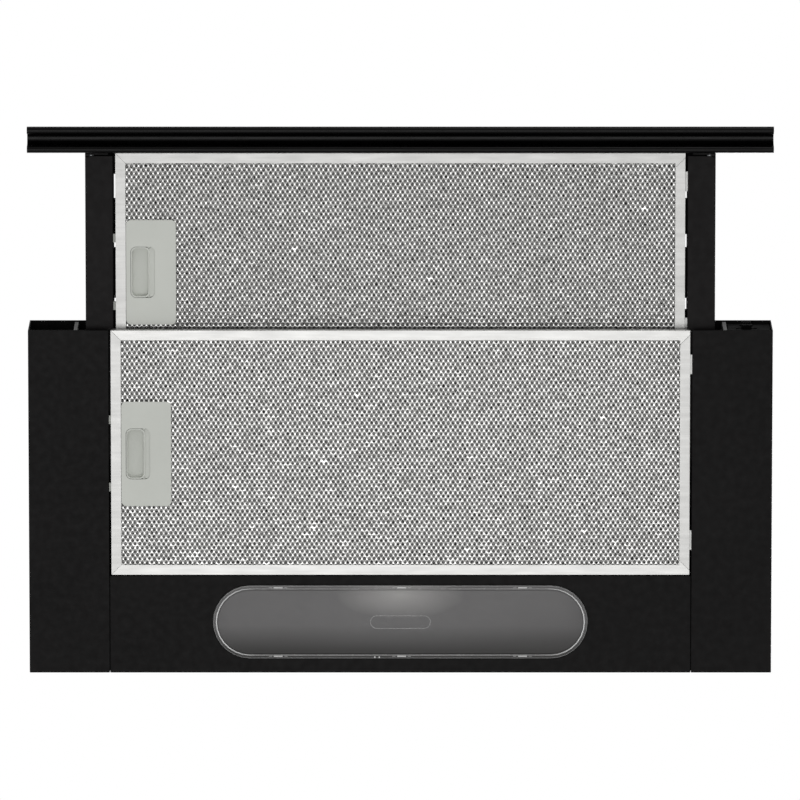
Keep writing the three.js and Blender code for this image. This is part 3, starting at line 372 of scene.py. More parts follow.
def smoky_plastic():
    """The lens: smoky plastic frosted inside, with a painted highlight over the lamps' front and painted
    shade darker to the rear.
    """
    m = Recipe("smoky_lens").fix(Transmission_Weight=0.12, IOR=1.49, Specular_IOR_Level=0.35)
    front = LENS_LOW.y
    rear = LENS_HIGH.y
    reach = rear - front
    body = m.blend(m.noise(9, 3), (0.100, 0.097, 0.098), (0.112, 0.109, 0.110))
    # painted shade: the lens darkens towards the rear
    shade = m.spread(m.axis("Y"), 0, 1, front + 0.55 * reach, rear - 0.1 * reach)
    dark = m.blend(m.noise(7, 2), (0.030, 0.029, 0.028), (0.036, 0.035, 0.034))
    # painted highlight: a pale oval near the front
    pale = m.blend(m.noise(12, 2), (0.300, 0.293, 0.286), (0.330, 0.323, 0.316))
    spot = m.glow((0, front + 0.12 * reach, LENS_FACE_Z), (0.052, 0.020, 0.02))
    m.colour(m.over(m.over(body, dark, shade), pale, m.spread(spot, 0, 1, 0, 1)))
    m.gloss(m.spread(m.noise(240, 3), 0.30, 0.38))
    return m.relief(m.noise(700, 2), 0.04, 0.0001).material


def lens_edge_plastic(name, end_shade):
    """The lens rim, painted paler than the lens as a highlight line: end_shade is how pale its curved ends
    are painted.
    """
    m = Recipe(name).fix(IOR=1.49, Specular_IOR_Level=0.5, Transmission_Weight=0.1)
    ends = m.node("ShaderNodeMath", operation="ABSOLUTE")
    m.link(m.axis("X"), ends.inputs[0])
    # painted highlight: the rim is paler than the lens, with its own paleness at the curved ends
    straight = m.blend(m.noise(60, 2), (0.17, 0.168, 0.166), (0.23, 0.228, 0.226))
    curved = m.blend(m.noise(60, 2), grey(end_shade), grey(1.2 * end_shade))
    share = m.spread(ends.outputs["Value"], 0, 1, LENS_HIGH.x - 0.034, LENS_HIGH.x - 0.012)
    m.colour(m.over(straight, curved, share))
    m.gloss(m.spread(m.noise(200, 2), 0.2, 0.3))
    return m.relief(m.noise(500, 2), 0.05, 0.0001).material


def galvanised_steel():
    """Zinc-coated sheet, with the flat crystals of its spangle."""
    m = Recipe("galvanised_sheet").fix(Metallic=0.95)
    paleness = m.node("ShaderNodeRGBToBW")
    m.link(m.cells(110, output="Color"), paleness.inputs["Color"])
    spangle = paleness.outputs["Val"]
    m.colour(m.blend(spangle, (0.36, 0.375, 0.39), (0.56, 0.575, 0.59), 0.1, 0.9))
    m.gloss(m.spread(spangle, 0.36, 0.52, 0, 1))
    return m.relief(m.noise(500, 3), 0.08, 0.0002).material


def polished_steel():
    """A turned shaft, with fine marks round it."""
    m = Recipe("turned_steel").fix(Metallic=1.0)
    turning = m.noise(1200, 2, stretch=(1, 0.05, 0.05))
    m.colour(m.blend(turning, (0.52, 0.53, 0.54), (0.66, 0.67, 0.68)))
    m.gloss(m.spread(m.noise(200, 3), 0.18, 0.30))
    return m.relief(turning, 0.08, 0.0001).material


def capacitor_case():
    """A drawn aluminium can."""
    m = Recipe("drawn_can").fix(Metallic=0.9)
    lines = m.noise(800, 3, stretch=(0.02, 1, 1))
    m.colour(m.blend(lines, (0.46, 0.475, 0.49), (0.62, 0.635, 0.65)))
    m.gloss(m.spread(m.noise(90, 3), 0.28, 0.42))
    return m.relief(lines, 0.1, 0.0001).material


def lamp_glass():
    """Opal glass with a faint unevenness."""
    m = Recipe("opal_glass").fix(Specular_IOR_Level=0.5, Transmission_Weight=0.15, IOR=1.5)
    m.colour(m.blend(m.noise(40, 3), (0.80, 0.79, 0.75), (0.90, 0.89, 0.86)))
    m.gloss(m.spread(m.noise(150, 2), 0.22, 0.32))
    return m.relief(m.noise(90, 2), 0.05, 0.0004).material


def make_materials():
    """The finish of each of the record's slots."""
    return {
        "black_paint": black_paint("black_powder_coat", 0.0033),
        "black_anodised": black_anodised(),
        "bare_aluminium": bare_aluminium("mill_aluminium", 0.60),
        "mesh_aluminium": mesh_aluminium("expanded_aluminium", 0.88),
        "latch_plastic": moulded_plastic(
            "latch_grey", (0.565, 0.580, 0.540), (0.605, 0.620, 0.578), 0.5, shine=0.3),
        "black_plastic": moulded_plastic(
            "black_moulding", (0.0035, 0.0035, 0.0036), (0.006, 0.006, 0.0062), 0.55, shine=0.12),
        "guide_plastic": moulded_plastic(
            "acetal_grey", (0.12, 0.12, 0.119), (0.16, 0.16, 0.158), 0.5, shine=0.12),
        "white_plastic": moulded_plastic(
            "white_moulding", (0.60, 0.60, 0.585), (0.70, 0.70, 0.685), 0.5),
        "smoky_plastic": smoky_plastic(),
        "galvanised_steel": galvanised_steel(),
        "polished_steel": polished_steel(),
        "lamp_glass": lamp_glass(),
        "capacitor_case": capacitor_case(),
    }


FINISHES = make_materials()
PACK_SHADED_FINISH = mesh_pack_painted_shade()
DEEP_MESH_SHADED_FINISH = deep_mesh_painted_shade()
INNER_MESH_FINISH = mesh_aluminium("expanded_aluminium_shaded", 0.77)
# Painted shade: the rear frame's side strips, whose rolling lines run across them, take a darker copy of
# the same aluminium.
SIDE_STRIP_DARKER_FINISH = bare_aluminium("mill_aluminium_crosswise_painted_darker", 0.51)
INNER_STRIP_FINISH = bare_aluminium("mill_aluminium_shaded", 0.48)
# Painted light: the posts take a paler copy of the same powder coat, for the light falling on them.
POST_PAINTED_LIGHTER_FINISH = black_paint("black_powder_coat_posts_painted_lighter", 0.0063)
KNOB_FINISH = moulded_plastic("matt_black_moulding", grey(0.003), grey(0.005), 0.6, shine=0.02)
# Painted highlights: the lens's clips and lugs are painted pale on its smoky plastic.
LUG_HIGHLIGHT_FINISH = moulded_plastic("lug_painted_highlight", (0.42, 0.42, 0.415), (0.55, 0.55, 0.545), 0.25, shine=0.6)
# The lens's two rim lines are painted paler than the lens as highlights; the ridge is much paler at its
# curved ends.
LENS_EDGE_HIGHLIGHT_FINISH = lens_edge_plastic("lens_edge", 0.55)
LENS_LIP_HIGHLIGHT_FINISH = lens_edge_plastic("lens_lip", 0.15)
SLOT_OF = {part["node"]: part["material_slot"] for part in frame["record"]["subparts"]}
BODY_OF = {
    node: body
    for body, members in frame["record"]["behaviour"]["bodies"].items()
    for node in members
}


# ------------------------------------------------------------------ mesh tools
SMOOTH_BELOW = 32
SHARP_ABOVE = 38


def finish_piece(bm, name, node, finish=None, smooth_below=SMOOTH_BELOW, weighted=True):
    """Turns the mesh into an object with the body and slot of that node, smooth except at sharp edges."""
    mesh = bpy.data.meshes.new(name)
    bm.normal_update()
    many_sided = [face for face in bm.faces if len(face.verts) > 4]
    bmesh.ops.triangulate(bm, faces=many_sided, ngon_method="EAR_CLIP")
    bm.normal_update()
    bm.to_mesh(mesh)
    bm.free()
    mesh.materials.append(finish or FINISHES[SLOT_OF[node]])
    mesh.polygons.foreach_set("use_smooth", [True] * len(mesh.polygons))
    mesh.set_sharp_from_angle(angle=math.radians(smooth_below))
    piece = bpy.data.objects.new(name, mesh)
    scene.collection.objects.link(piece)
    if weighted:
        normals = piece.modifiers.new("flat_faces", "WEIGHTED_NORMAL")
        normals.keep_sharp = True
    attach(piece, BODY_OF[node])
    return piece


def node_mesh(node):
    """A clean copy of a node's shape, with its doubled corners merged and flat faces joined."""
    source = frame["nodes"][node].data
    bm = bmesh.new()
    corners = [bm.verts.new(v.co) for v in source.vertices]
    for polygon in source.polygons:
        bm.faces.new([corners[i] for i in polygon.vertices])
    bmesh.ops.remove_doubles(bm, verts=bm.verts, dist=0.02 * MM)
    bmesh.ops.dissolve_limit(
        bm, angle_limit=math.radians(0.4), verts=bm.verts, edges=bm.edges, delimit={"NORMAL"})
    return bm


def bevel_edges(bm, chosen, width, segments=2):
    """Rounds the chosen edges."""
    if chosen:
        bmesh.ops.bevel(
            bm, geom=chosen, offset=width, offset_type="OFFSET", segments=segments, profile=0.6,
            affect="EDGES", clamp_overlap=True)


def sharp_edges(bm):
    """The edges whose two faces meet at a clear angle."""
    limit = math.radians(SHARP_ABOVE)
    return [e for e in bm.edges if e.is_manifold and e.calc_face_angle(0) > limit]


def soften(node, width=0.3 * MM, folds=None, fold_width=0.6 * MM, finish=None):
    """The node with rounded edges; folds(edge) picks the edges bent from sheet, which are rounder.

    A fold's width stays under the sheet's thickness, so that no edge face is bevelled away.
    """
    bm = node_mesh(node)
    if folds:
        bevel_edges(bm, [e for e in sharp_edges(bm) if folds(e)], fold_width, 3)
    bevel_edges(bm, sharp_edges(bm), width)
    piece = finish_piece(bm, f"{node}_shown", node, finish)
    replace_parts(piece, node)


def add_block(bm, lowest, highest, bevel=0.2 * MM):
    """A box with softened edges, added to the mesh."""
    size = Vector(highest) - Vector(lowest)
    centre = (Vector(highest) + Vector(lowest)) / 2
    corners = bmesh.ops.create_cube(bm, size=1.0)["verts"]
    for corner in corners:
        corner.co = corner.co * size + centre
    edges = list({e for corner in corners for e in corner.link_edges})
    bevel_edges(bm, edges, min(bevel, 0.3 * min(size)))


SCREW_RINGS = 9
SCREW_STEPS = 32
SCREW_SUNK = 0.05 * MM
CROSS_HALF_WIDTH = 0.13
CROSS_REACH = 0.6


def screw_ring(share, radius, turned):
    """Spots round a pan head at that share of its radius, lower where they lie in its cross recess.

    The cross's two sizes are shares of the radius too.
    """
    height = 0.62 * radius
    dome = height * (1 - 0.45 * share ** 2) if share < 0.97 else 0.35 * height
    spots = []
    for i in range(SCREW_STEPS if share else 1):
        angle = 2 * math.pi * i / SCREW_STEPS
        from_cross = min(abs(share * math.cos(angle)), abs(share * math.sin(angle)))
        in_cross = from_cross < CROSS_HALF_WIDTH and share < CROSS_REACH
        depth = 0.5 * height * (1 - share / 0.7) if in_cross else 0
        x = radius * share * math.cos(angle + turned)
        y = radius * share * math.sin(angle + turned)
        spots.append(Vector((x, y, dome - depth)))
    return spots


def add_screw(bm, base, axis, radius=2.6 * MM, turned=0.0):
    """A pan head that stands on base and faces along axis, its cross turned by an angle."""
    shares = [1 - (1 - step / SCREW_RINGS) ** 1.3 for step in range(SCREW_RINGS + 1)]
    rings = [screw_ring(share, radius, turned) for share in shares]
    rings.append([Vector((spot.x, spot.y, -SCREW_SUNK)) for spot in rings[-1]])
    turn = Vector(axis).to_track_quat("Z", "Y").to_matrix()
    placed = [[bm.verts.new(Vector(base) + turn @ spot) for spot in ring] for ring in rings]
    for inner, outer in zip(placed, placed[1:]):
        for i in range(SCREW_STEPS):
            k = (i + 1) % SCREW_STEPS
            corners = [inner[i % len(inner)], outer[i], outer[k], inner[k % len(inner)]]
            bm.faces.new(list(dict.fromkeys(corners)))


def stadium_loop(length, width, inset, steps=14):
    """Points round a straight-sided outline with half-round ends, drawn inwards by inset."""
    radius = width / 2 - inset
    reach = length / 2 - width / 2
    points = []
    for end, start in ((1, -90), (-1, 90)):
        for i in range(steps + 1):
            angle = math.radians(start + 180 * i / steps)
            points.append((end * reach + radius * math.cos(angle), radius * math.sin(angle)))
    return points


def rounded_loop(length, width, corner, inset, steps=6):
    """Points round a rectangle with rounded corners, drawn inwards by inset."""
    radius = max(corner - inset, 0.05 * MM)
    x = length / 2 - inset - radius
    y = width / 2 - inset - radius
    points = []
    for sx, sy, start in ((1, -1, -90), (1, 1, 0), (-1, 1, 90), (-1, -1, 180)):
        for i in range(steps + 1):
            angle = math.radians(start + 90 * i / steps)
            points.append((sx * x + radius * math.cos(angle), sy * y + radius * math.sin(angle)))
    return points


def add_loft(bm, loops, place, closed=False, capped=False):
    """Skins between loops of (x, y, height); place turns each point into a spot in the room."""
    rings = [[bm.verts.new(place(x, y, z)) for x, y, z in loop] for loop in loops]
    pairs = list(zip(rings, rings[1:])) + ([(rings[-1], rings[0])] if closed else [])
    for lower, upper in pairs:
        for i in range(len(lower)):
            k = (i + 1) % len(lower)
            bm.faces.new([lower[i], lower[k], upper[k], upper[i]])
    if capped:
        bm.faces.new(list(reversed(rings[0])))
        bm.faces.new(rings[-1])


def at_height(points, height):
    """A loop of points at one height."""
    return [(x, y, height) for x, y in points]


def box_edges(node, *pairs):
    """Picks edges that lie on two of the node's own limits; a pair is two axes out of 0, 1 and 2."""
    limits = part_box(node)

    def on_limit(v, axis):
        return min(abs(v.co[axis] - limit[axis]) for limit in limits) < 0.02 * MM

    def picked(edge):
        return any(all(on_limit(v, axis) for v in edge.verts for axis in pair) for pair in pairs)

    return picked


ALONG_X = (1, 2)
ALONG_Y = (0, 2)
ALONG_Z = (0, 1)
SIDES = (("left", -1), ("right", 1))


# ------------------------------------------------------------------ sheets and mouldings
TOP_PLATE_FOLD = 0.5 * MM
PLAIN_SHEETS = ("drawer_cover", "drawer_front_rail", "drawer_rear_rail")
EDGE_RADII = {
    "fascia": 0.5 * MM,
    "control_plate": 0.3 * MM,
    "fan_speed_slider": 0.25 * MM,
    "light_slider": 0.25 * MM,
    "switch_block": 0.5 * MM,
    "microswitch": 0.3 * MM,
    "microswitch_plunger": 0.4 * MM,
    "lamp_housing": 0.5 * MM,
    "outlet_spigot": 0.4 * MM,
    "front_flap": 0.3 * MM,
    "rear_flap": 0.3 * MM,
    "motor_bracket": 0.3 * MM,
    "terminal_box": 0.6 * MM,
    "terminal_lid": 0.6 * MM,
}
SIDE_EDGE_RADII = {
    "front_guide": 0.4 * MM,
    "glide": 0.6 * MM,
    "scroll_half": 0.4 * MM,
    "lampholder": 0.4 * MM,
}
CONTROLS = ("control_plate", "fan_speed_slider", "light_slider")


def dress_sheets():
    """Sheet parts keep their shape and get rounded folds and broken edges."""
    soften("top_plate", folds=box_edges("top_plate", ALONG_X), fold_width=TOP_PLATE_FOLD)
    soften("light_panel", folds=box_edges("light_panel", ALONG_X))
    for node in PLAIN_SHEETS:
        soften(node)
    soften("motor_box", folds=box_edges("motor_box", ALONG_X, ALONG_Y, ALONG_Z))
    for word, _ in SIDES:
        soften(f"{word}_wing", folds=box_edges(f"{word}_wing", ALONG_Y, ALONG_X))
        soften(f"{word}_post", folds=box_edges(f"{word}_post", ALONG_Y), finish=POST_PAINTED_LIGHTER_FINISH)
        soften(f"{word}_guide_rail", folds=box_edges(f"{word}_guide_rail", ALONG_Y))


def dress_mouldings():
    """Plastic and cast parts keep their shape and get moulded radii."""
    for node, radius in EDGE_RADII.items():
        soften(node, radius, finish=KNOB_FINISH if node in CONTROLS else None)
    for word, _ in SIDES:
        for part, radius in SIDE_EDGE_RADII.items():
            soften(f"{word}_{part}", radius)


def dress_kept_nodes():
    """Turned and hidden nodes whose shape is right as it is: they only take a finish."""
    replaced = {name for piece in scene.objects for name in piece.get("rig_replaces", [])}
    for name, node in frame["nodes"].items():
        if name in replaced:
            continue
        node.data.materials.clear()
        node.data.materials.append(FINISHES[SLOT_OF[name]])
        node.data.polygons.foreach_set("use_smooth", [True] * len(node.data.polygons))
        node.data.set_sharp_from_angle(angle=math.radians(SMOOTH_BELOW))


# ------------------------------------------------------------------ grease filters
MITRE_GAP = 0.16 * MM
FRAME_BEND = 0.28 * MM
CELL_WIDTH = 3.85 * MM
ROW_HEIGHT = 3.0 * MM
HOLE_WIDTH = 2.45 * MM
HOLE_HEIGHT = 3.1 * MM
MESH_MARGIN = 5.1 * MM
MESH_SMOOTH_BELOW = 60
FACE_MESH_LEVEL = 0.12 * MM
FACE_MESH_DEPTH = 1.15 * MM
FACE_MESH_WAVE = 0.08 * MM
SECOND_MESH_LEVEL = 0.3 * MM
SECOND_MESH_DEPTH = 0.6 * MM
SECOND_MESH_WAVE = 0.25 * MM
SECOND_MESH_TURN = math.radians(24)
SECOND_MESH_WANDER = 0.35 * MM
PLATE_OVERLAP = 2 * MM
BOLT_ROOM = 36 * MM
DEEP_LEVEL = 1.9 * MM
DEEP_OVERLAP = 12 * MM
DEEP_CLEARANCE = 1 * MM
CUP_RIGHT = 18.7 * MM
CUP_HALF_LENGTH = 20.6 * MM
WEB_SIZE = 1.6 * MM
WEB_BOTTOM = 1.3 * MM
WEB_TOP = 1.9 * MM
LATCH_PLATE_EDGE = 0.45 * MM
LATCH_SLIDER_EDGE = 0.35 * MM
FILTERS = ("front_filter", "rear_filter")


def cut_away(bm, spot, outward):
    """Removes what lies beyond a plane and closes the cut."""
    cut = bmesh.ops.bisect_plane(
        bm, geom=[*bm.verts, *bm.edges, *bm.faces], dist=0.001 * MM, plane_co=spot, plane_no=outward,
        clear_outer=True)
    rims = [e for e in cut["geom_cut"] if isinstance(e, bmesh.types.BMEdge)]
    bmesh.ops.holes_fill(bm, edges=rims, sides=0)


def frame_strip(name, across, sign):
    """One side of the folded frame, with mitred ends."""
    strip = node_mesh(f"{name}_frame")
    lowest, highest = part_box(f"{name}_frame")
    centre = (lowest + highest) / 2
    half = (highest - lowest) / 2
    inward = Vector((0, 0, 0))
    inward[across] = -sign
    cut_away(strip, centre, inward)
    along = 1 - across
    for end in (-1, 1):
        corner = centre.copy()
        corner[across] += sign * half[across]
        corner[along] += end * half[along]
        outward = inward.copy()
        outward[along] = end
        outward.normalize()
        cut_away(strip, corner - outward * MITRE_GAP / 2, outward)
    bevel_edges(strip, sharp_edges(strip), FRAME_BEND)
    return strip


def mitred_frame(name):
    """The folded frame as four strips whose joints show as fine diagonal lines."""
    node = f"{name}_frame"
    for across, word in ((0, "sides"), (1, "ends")):
        pair = bmesh.new()
        for sign in (-1, 1):
            strip = frame_strip(name, across, sign)
            mesh = bpy.data.meshes.new("strip")
            strip.to_mesh(mesh)
            strip.free()
            pair.from_mesh(mesh)
            bpy.data.meshes.remove(mesh)
        rear_finish = SIDE_STRIP_DARKER_FINISH if word == "sides" else None
        finish = INNER_STRIP_FINISH if name == "front_filter" else rear_finish
        piece = finish_piece(pair, f"{node}_{word}", node, finish)
        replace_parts(piece, node)


def cell_corners():
    """Corners of the six-sided cell round each hole, in a grid whose rows are offset by half a cell."""
    half = CELL_WIDTH / 2
    shoulder = (ROW_HEIGHT ** 2 - half ** 2) / (2 * ROW_HEIGHT)
    peak = ROW_HEIGHT - shoulder
    right = [(half, -shoulder), (half, shoulder), (0, peak)]
    return right + [(-x, -y) for x, y in right]


def unevenness(x, y, wave):
    """A slow rise and fall of the sheet, as far as wave either way."""
    along = math.sin(x * 61 + 1.7 * math.sin(y * 43))
    across = math.sin(y * 97 + 2.1 * math.sin(x * 29))
    return wave * (along + across) / 2


def hole_rim(corners, depth):
    """Steps and rises of a hole's rim: the strands above and below it stand up and lean a little."""
    swell = dice.uniform(0.9, 1.07)
    lean = dice.uniform(-0.25, 0.25) * MM
    tip = dice.uniform(0.25, 0.55) * depth
    rim = []
    for x, y in corners:
        angle = math.atan2(y * HOLE_WIDTH, x * HOLE_HEIGHT)
        twist = math.sin(angle) ** 2
        du = 0.5 * HOLE_WIDTH * swell * math.cos(angle)
        dv = 0.5 * HOLE_HEIGHT * swell * math.sin(angle) + lean
        rim.append((du, dv, depth * (0.1 + 0.8 * twist) - 0.3 * tip * math.sin(angle) * twist))
    return rim


def expanded_sheet(window, keep_out, bottom, depth, wave, turn=0.0, wander=0.09 * MM):
    """Mesh of slit and stretched sheet: flat bonds beside each hole, and twisted strands round it.

    It fills the window except where keep_out(spot) holds, from the level bottom up, and depth deep.
    """
    (x0, y0), (x1, y1) = window
    bm = bmesh.new()
    ridge = {}
    corners = cell_corners()
    centre = Vector(((x0 + x1) / 2, (y0 + y1) / 2))
    reach = math.hypot(x1 - x0, y1 - y0) / 2 + CELL_WIDTH
    rows = int(reach / ROW_HEIGHT)
    columns = int(reach / CELL_WIDTH)

    def spot(u, v, height):
        x = centre.x + u * math.cos(turn) - v * math.sin(turn)
        y = centre.y + u * math.sin(turn) + v * math.cos(turn)
        return Vector((x, y, height + unevenness(x, y, wave)))

    def ridge_vertex(u, v):
        key = (round(u / CELL_WIDTH * 4), round(v / (0.1 * MM)))
        if key not in ridge:
            ridge[key] = bm.verts.new(spot(
                u + dice.uniform(-wander, wander), v + dice.uniform(-wander, wander),
                bottom + dice.uniform(0, 0.18) * depth))
        return ridge[key]

    for row in range(-rows, rows + 1):
        for column in range(-columns, columns + 1):
            u = (column + 0.5 * (row % 2)) * CELL_WIDTH
            v = row * ROW_HEIGHT
            place = spot(u, v, 0)
            if not (x0 < place.x < x1 and y0 < place.y < y1) or keep_out(place):
                continue
            outer = [ridge_vertex(u + x, v + y) for x, y in corners]
            rim = hole_rim(corners, depth)
            inner = [bm.verts.new(spot(u + du, v + dv, bottom + rise)) for du, dv, rise in rim]
            for i in range(len(corners)):
                k = (i + 1) % len(corners)
                bm.faces.new([outer[i], inner[i], inner[k], outer[k]])
    return bm


def filter_mesh(name):
    """Two layers of expanded mesh that show through each other, kept away from the latch."""
    face_node = f"{name}_face_mesh"
    pack_node = f"{name}_mesh_pack"
    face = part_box(face_node)
    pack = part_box(pack_node)
    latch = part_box(f"{name}_latch_plate")
    latch_middle = (latch[0].y + latch[1].y) / 2
    low_corner = (face[0].x + MESH_MARGIN, face[0].y + MESH_MARGIN)
    high_corner = (face[1].x - MESH_MARGIN, face[1].y - MESH_MARGIN)
    window = (low_corner, high_corner)

    def keep_out(spot):
        left_of_edge = spot.x < latch[1].x - PLATE_OVERLAP
        behind_plate = latch[0].y + PLATE_OVERLAP < spot.y < latch[1].y - PLATE_OVERLAP
        beside_bolts = abs(spot.y - latch_middle) < BOLT_ROOM
        return left_of_edge and (behind_plate or beside_bolts)

    level = face[0].z + FACE_MESH_LEVEL
    first = expanded_sheet(window, keep_out, level, FACE_MESH_DEPTH, FACE_MESH_WAVE)
    finish = INNER_MESH_FINISH if name == "front_filter" else None
    piece = finish_piece(first, f"{face_node}_shown", face_node, finish, MESH_SMOOTH_BELOW, weighted=False)
    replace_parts(piece, face_node)
    level = pack[0].z + SECOND_MESH_LEVEL
    second = expanded_sheet(
        window, keep_out, level, SECOND_MESH_DEPTH, SECOND_MESH_WAVE, SECOND_MESH_TURN, SECOND_MESH_WANDER)
    piece = finish_piece(
        second, f"{name}_second_mesh", face_node, DEEP_MESH_SHADED_FINISH, MESH_SMOOTH_BELOW, weighted=False)
    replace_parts(piece, pack_node)


def deep_layers(name):
    """The pack behind the mesh, painted dark with shade, in three blocks that leave room for the latch."""
    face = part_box(f"{name}_face_mesh")
    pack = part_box(f"{name}_mesh_pack")
    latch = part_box(f"{name}_latch_plate")
    front = latch[0].y - DEEP_CLEARANCE
    rear = latch[1].y + DEEP_CLEARANCE
    blocks = (
        (face[0].x, pack[0].y, front),
        (face[0].x, rear, pack[1].y),
        (latch[1].x - DEEP_OVERLAP, front, rear),
    )
    bm = bmesh.new()
    for left, near, far in blocks:
        add_block(bm, (left, near, pack[0].z + DEEP_LEVEL), (face[1].x, far, pack[1].z))
    finish_piece(bm, f"{name}_deep_layers", f"{name}_face_mesh", PACK_SHADED_FINISH)


def close_cup_corners(name):
    """Small webs of the slider behind the cup's rounded right corners."""
    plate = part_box(f"{name}_latch_plate")
    slider = f"{name}_latch_slider"
    middle = (plate[0].y + plate[1].y) / 2
    right = plate[0].x + CUP_RIGHT
    bottom = plate[0].z + WEB_BOTTOM
    top = plate[0].z + WEB_TOP
    bm = bmesh.new()
    for side in (-1, 1):
        end = middle + side * CUP_HALF_LENGTH
        near, far = sorted((end - side * WEB_SIZE, end))
        add_block(bm, (right - WEB_SIZE, near, bottom), (right + 0.6 * MM, far, top), 0.1 * MM)
    finish_piece(bm, f"{slider}_webs", slider)


def dress_filter(name):
    """One filter, from its frame inwards."""
    mitred_frame(name)
    filter_mesh(name)
    deep_layers(name)
    soften(f"{name}_latch_plate", LATCH_PLATE_EDGE)
    soften(f"{name}_latch_slider", LATCH_SLIDER_EDGE)
    close_cup_corners(name)


# ------------------------------------------------------------------ lens
LENS_RIM = ((0, 5.0), (0, 0.9), (0.25, 0.45), (0.8, 0.3), (1.5, 0.3), (1.75, 0.65), (2.15, 0.65))
LENS_RIDGE = ((2.15, 0.9), (2.2, 0.2), (2.45, 0.0), (2.9, 0.0), (3.15, 0.2), (3.2, 0.9))
LENS_LIP = ((0.02, 0.8), (0.05, 0.3), (0.2, 0.22), (0.5, 0.22), (0.55, 0.8))
LENS_DISH = ((3.2, 0.65), (3.6, 0.3), (4.4, 0.1))
LENS_INSIDE = ((1.8, 5.0), (1.8, 2.2), (2.4, 1.9))
LENS_BADGE = ((0, 0.4), (0.05, 0.02), (0.6, 0.02), (0.65, 0.4))
BADGE_SIZE = (49 * MM, 11 * MM)
CLIP_PLACES = (-98.5 * MM, 1.0 * MM, 98.5 * MM)
CLIP_INSET = 1.7 * MM
CLIP_SIZE = (7.2 * MM, 1.0 * MM)
CLIP_LEVELS = (0.0, 0.9 * MM)
STEP_PLACE = 6.25 * MM
STEP_SIZE = (2.5 * MM, 0.3 * MM)
STEP_LEVELS = (0.1 * MM, 0.8 * MM)
PRY_LUG_PLACES = (-20.6 * MM, -17.0 * MM)
PRY_LUG_INSET = 0.9 * MM
PRY_LUG_SIZE = (1.2 * MM, 1.4 * MM)
PRY_LUG_LEVELS = (0.02 * MM, 0.8 * MM)
LENS_SIZE = LENS_HIGH - LENS_LOW
LENS_CENTRE = (LENS_HIGH + LENS_LOW) / 2


def on_lens(x, y, z):
    """A spot given from the middle of the lens's lowest level."""
    return Vector((LENS_CENTRE.x + x, LENS_CENTRE.y + y, LENS_LOW.z + z))


def lens_rings(profile, size=LENS_SIZE):
    """Stadium outlines whose inset and rise are the profile's pairs, in millimetres."""
    length, width = size[0], size[1]
    return [at_height(stadium_loop(length, width, inset * MM), rise * MM) for inset, rise in profile]


def add_lens_block(bm, x, y, size, levels, bevel=0.2 * MM):
    """A block on the lens round (x, y): size is its length and width, levels its bottom and top."""
    near = on_lens(x - size[0] / 2, y - size[1] / 2, levels[0])
    far = on_lens(x + size[0] / 2, y + size[1] / 2, levels[1])
    add_block(bm, near, far, bevel)


def add_clip(bm, x, y):
    """A snap lug in the rim, with a small step on either side."""
    add_lens_block(bm, x, y, CLIP_SIZE, CLIP_LEVELS)
    for side in (-1, 1):
        add_lens_block(bm, x + side * STEP_PLACE, y, STEP_SIZE, STEP_LEVELS, 0.1 * MM)


def lens_tray():
    """The lens itself: a shallow tray whose face is dished behind its rim."""
    bm = bmesh.new()
    outside = lens_rings(LENS_RIM + LENS_DISH)
    inside = lens_rings(LENS_INSIDE)
    add_loft(bm, [*reversed(outside), *inside], on_lens, capped=True)
    piece = finish_piece(bm, "lens_tray", "lamp_lens", weighted=False)
    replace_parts(piece, "lamp_lens")


def lens_ridge():
    """The second rim inside the first, painted brighter as a highlight."""
    bm = bmesh.new()
    add_loft(bm, lens_rings(LENS_RIDGE), on_lens, closed=True)
    finish_piece(bm, "lens_ridge", "lamp_lens", LENS_EDGE_HIGHLIGHT_FINISH)


def lens_lines():
    """The rim's fine lip, and a raised line round the empty field where a badge would go."""
    bm = bmesh.new()
    add_loft(bm, lens_rings(LENS_LIP), on_lens, closed=True)
    add_loft(bm, lens_rings(LENS_BADGE, BADGE_SIZE), on_lens, closed=True)
    finish_piece(bm, "lens_lines", "lamp_lens", LENS_LIP_HIGHLIGHT_FINISH)


def lens_lugs():
    """Clips along both long edges, and two small lugs to pry the lens open by, all painted pale as
    highlights.
    """
    half_width = LENS_SIZE.y / 2
    bm = bmesh.new()
    for side in (-1, 1):
        for x in CLIP_PLACES:
            add_clip(bm, x, side * (half_width - CLIP_INSET))
    for x in PRY_LUG_PLACES:
        add_lens_block(bm, x, half_width - PRY_LUG_INSET, PRY_LUG_SIZE, PRY_LUG_LEVELS)
    finish_piece(bm, "lens_lugs", "lamp_lens", LUG_HIGHLIGHT_FINISH)


# ------------------------------------------------------------------ seams and posts
POST_TRIM = 2.2 * MM
POST_TONGUE = 3.5 * MM
SEAM_END = 1.5 * MM


def mirrored(side, first, second):
    """The two X limits of something that far from the middle plane, on that side of it."""
    return sorted((side * first, side * second))


def close_seams():
    """Black strips behind the seams between the light panel and the wings."""
    lowest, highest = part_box("light_panel")
    for word, side in SIDES:
        x0, x1 = mirrored(side, highest.x - 3 * MM, highest.x + 0.25 * MM)
        bm = bmesh.new()
        add_block(
            bm, (x0, lowest.y + SEAM_END, lowest.z + 1 * MM), (x1, highest.y - SEAM_END, lowest.z + 3 * MM))
        finish_piece(bm, f"{word}_seam_strip", "light_panel")


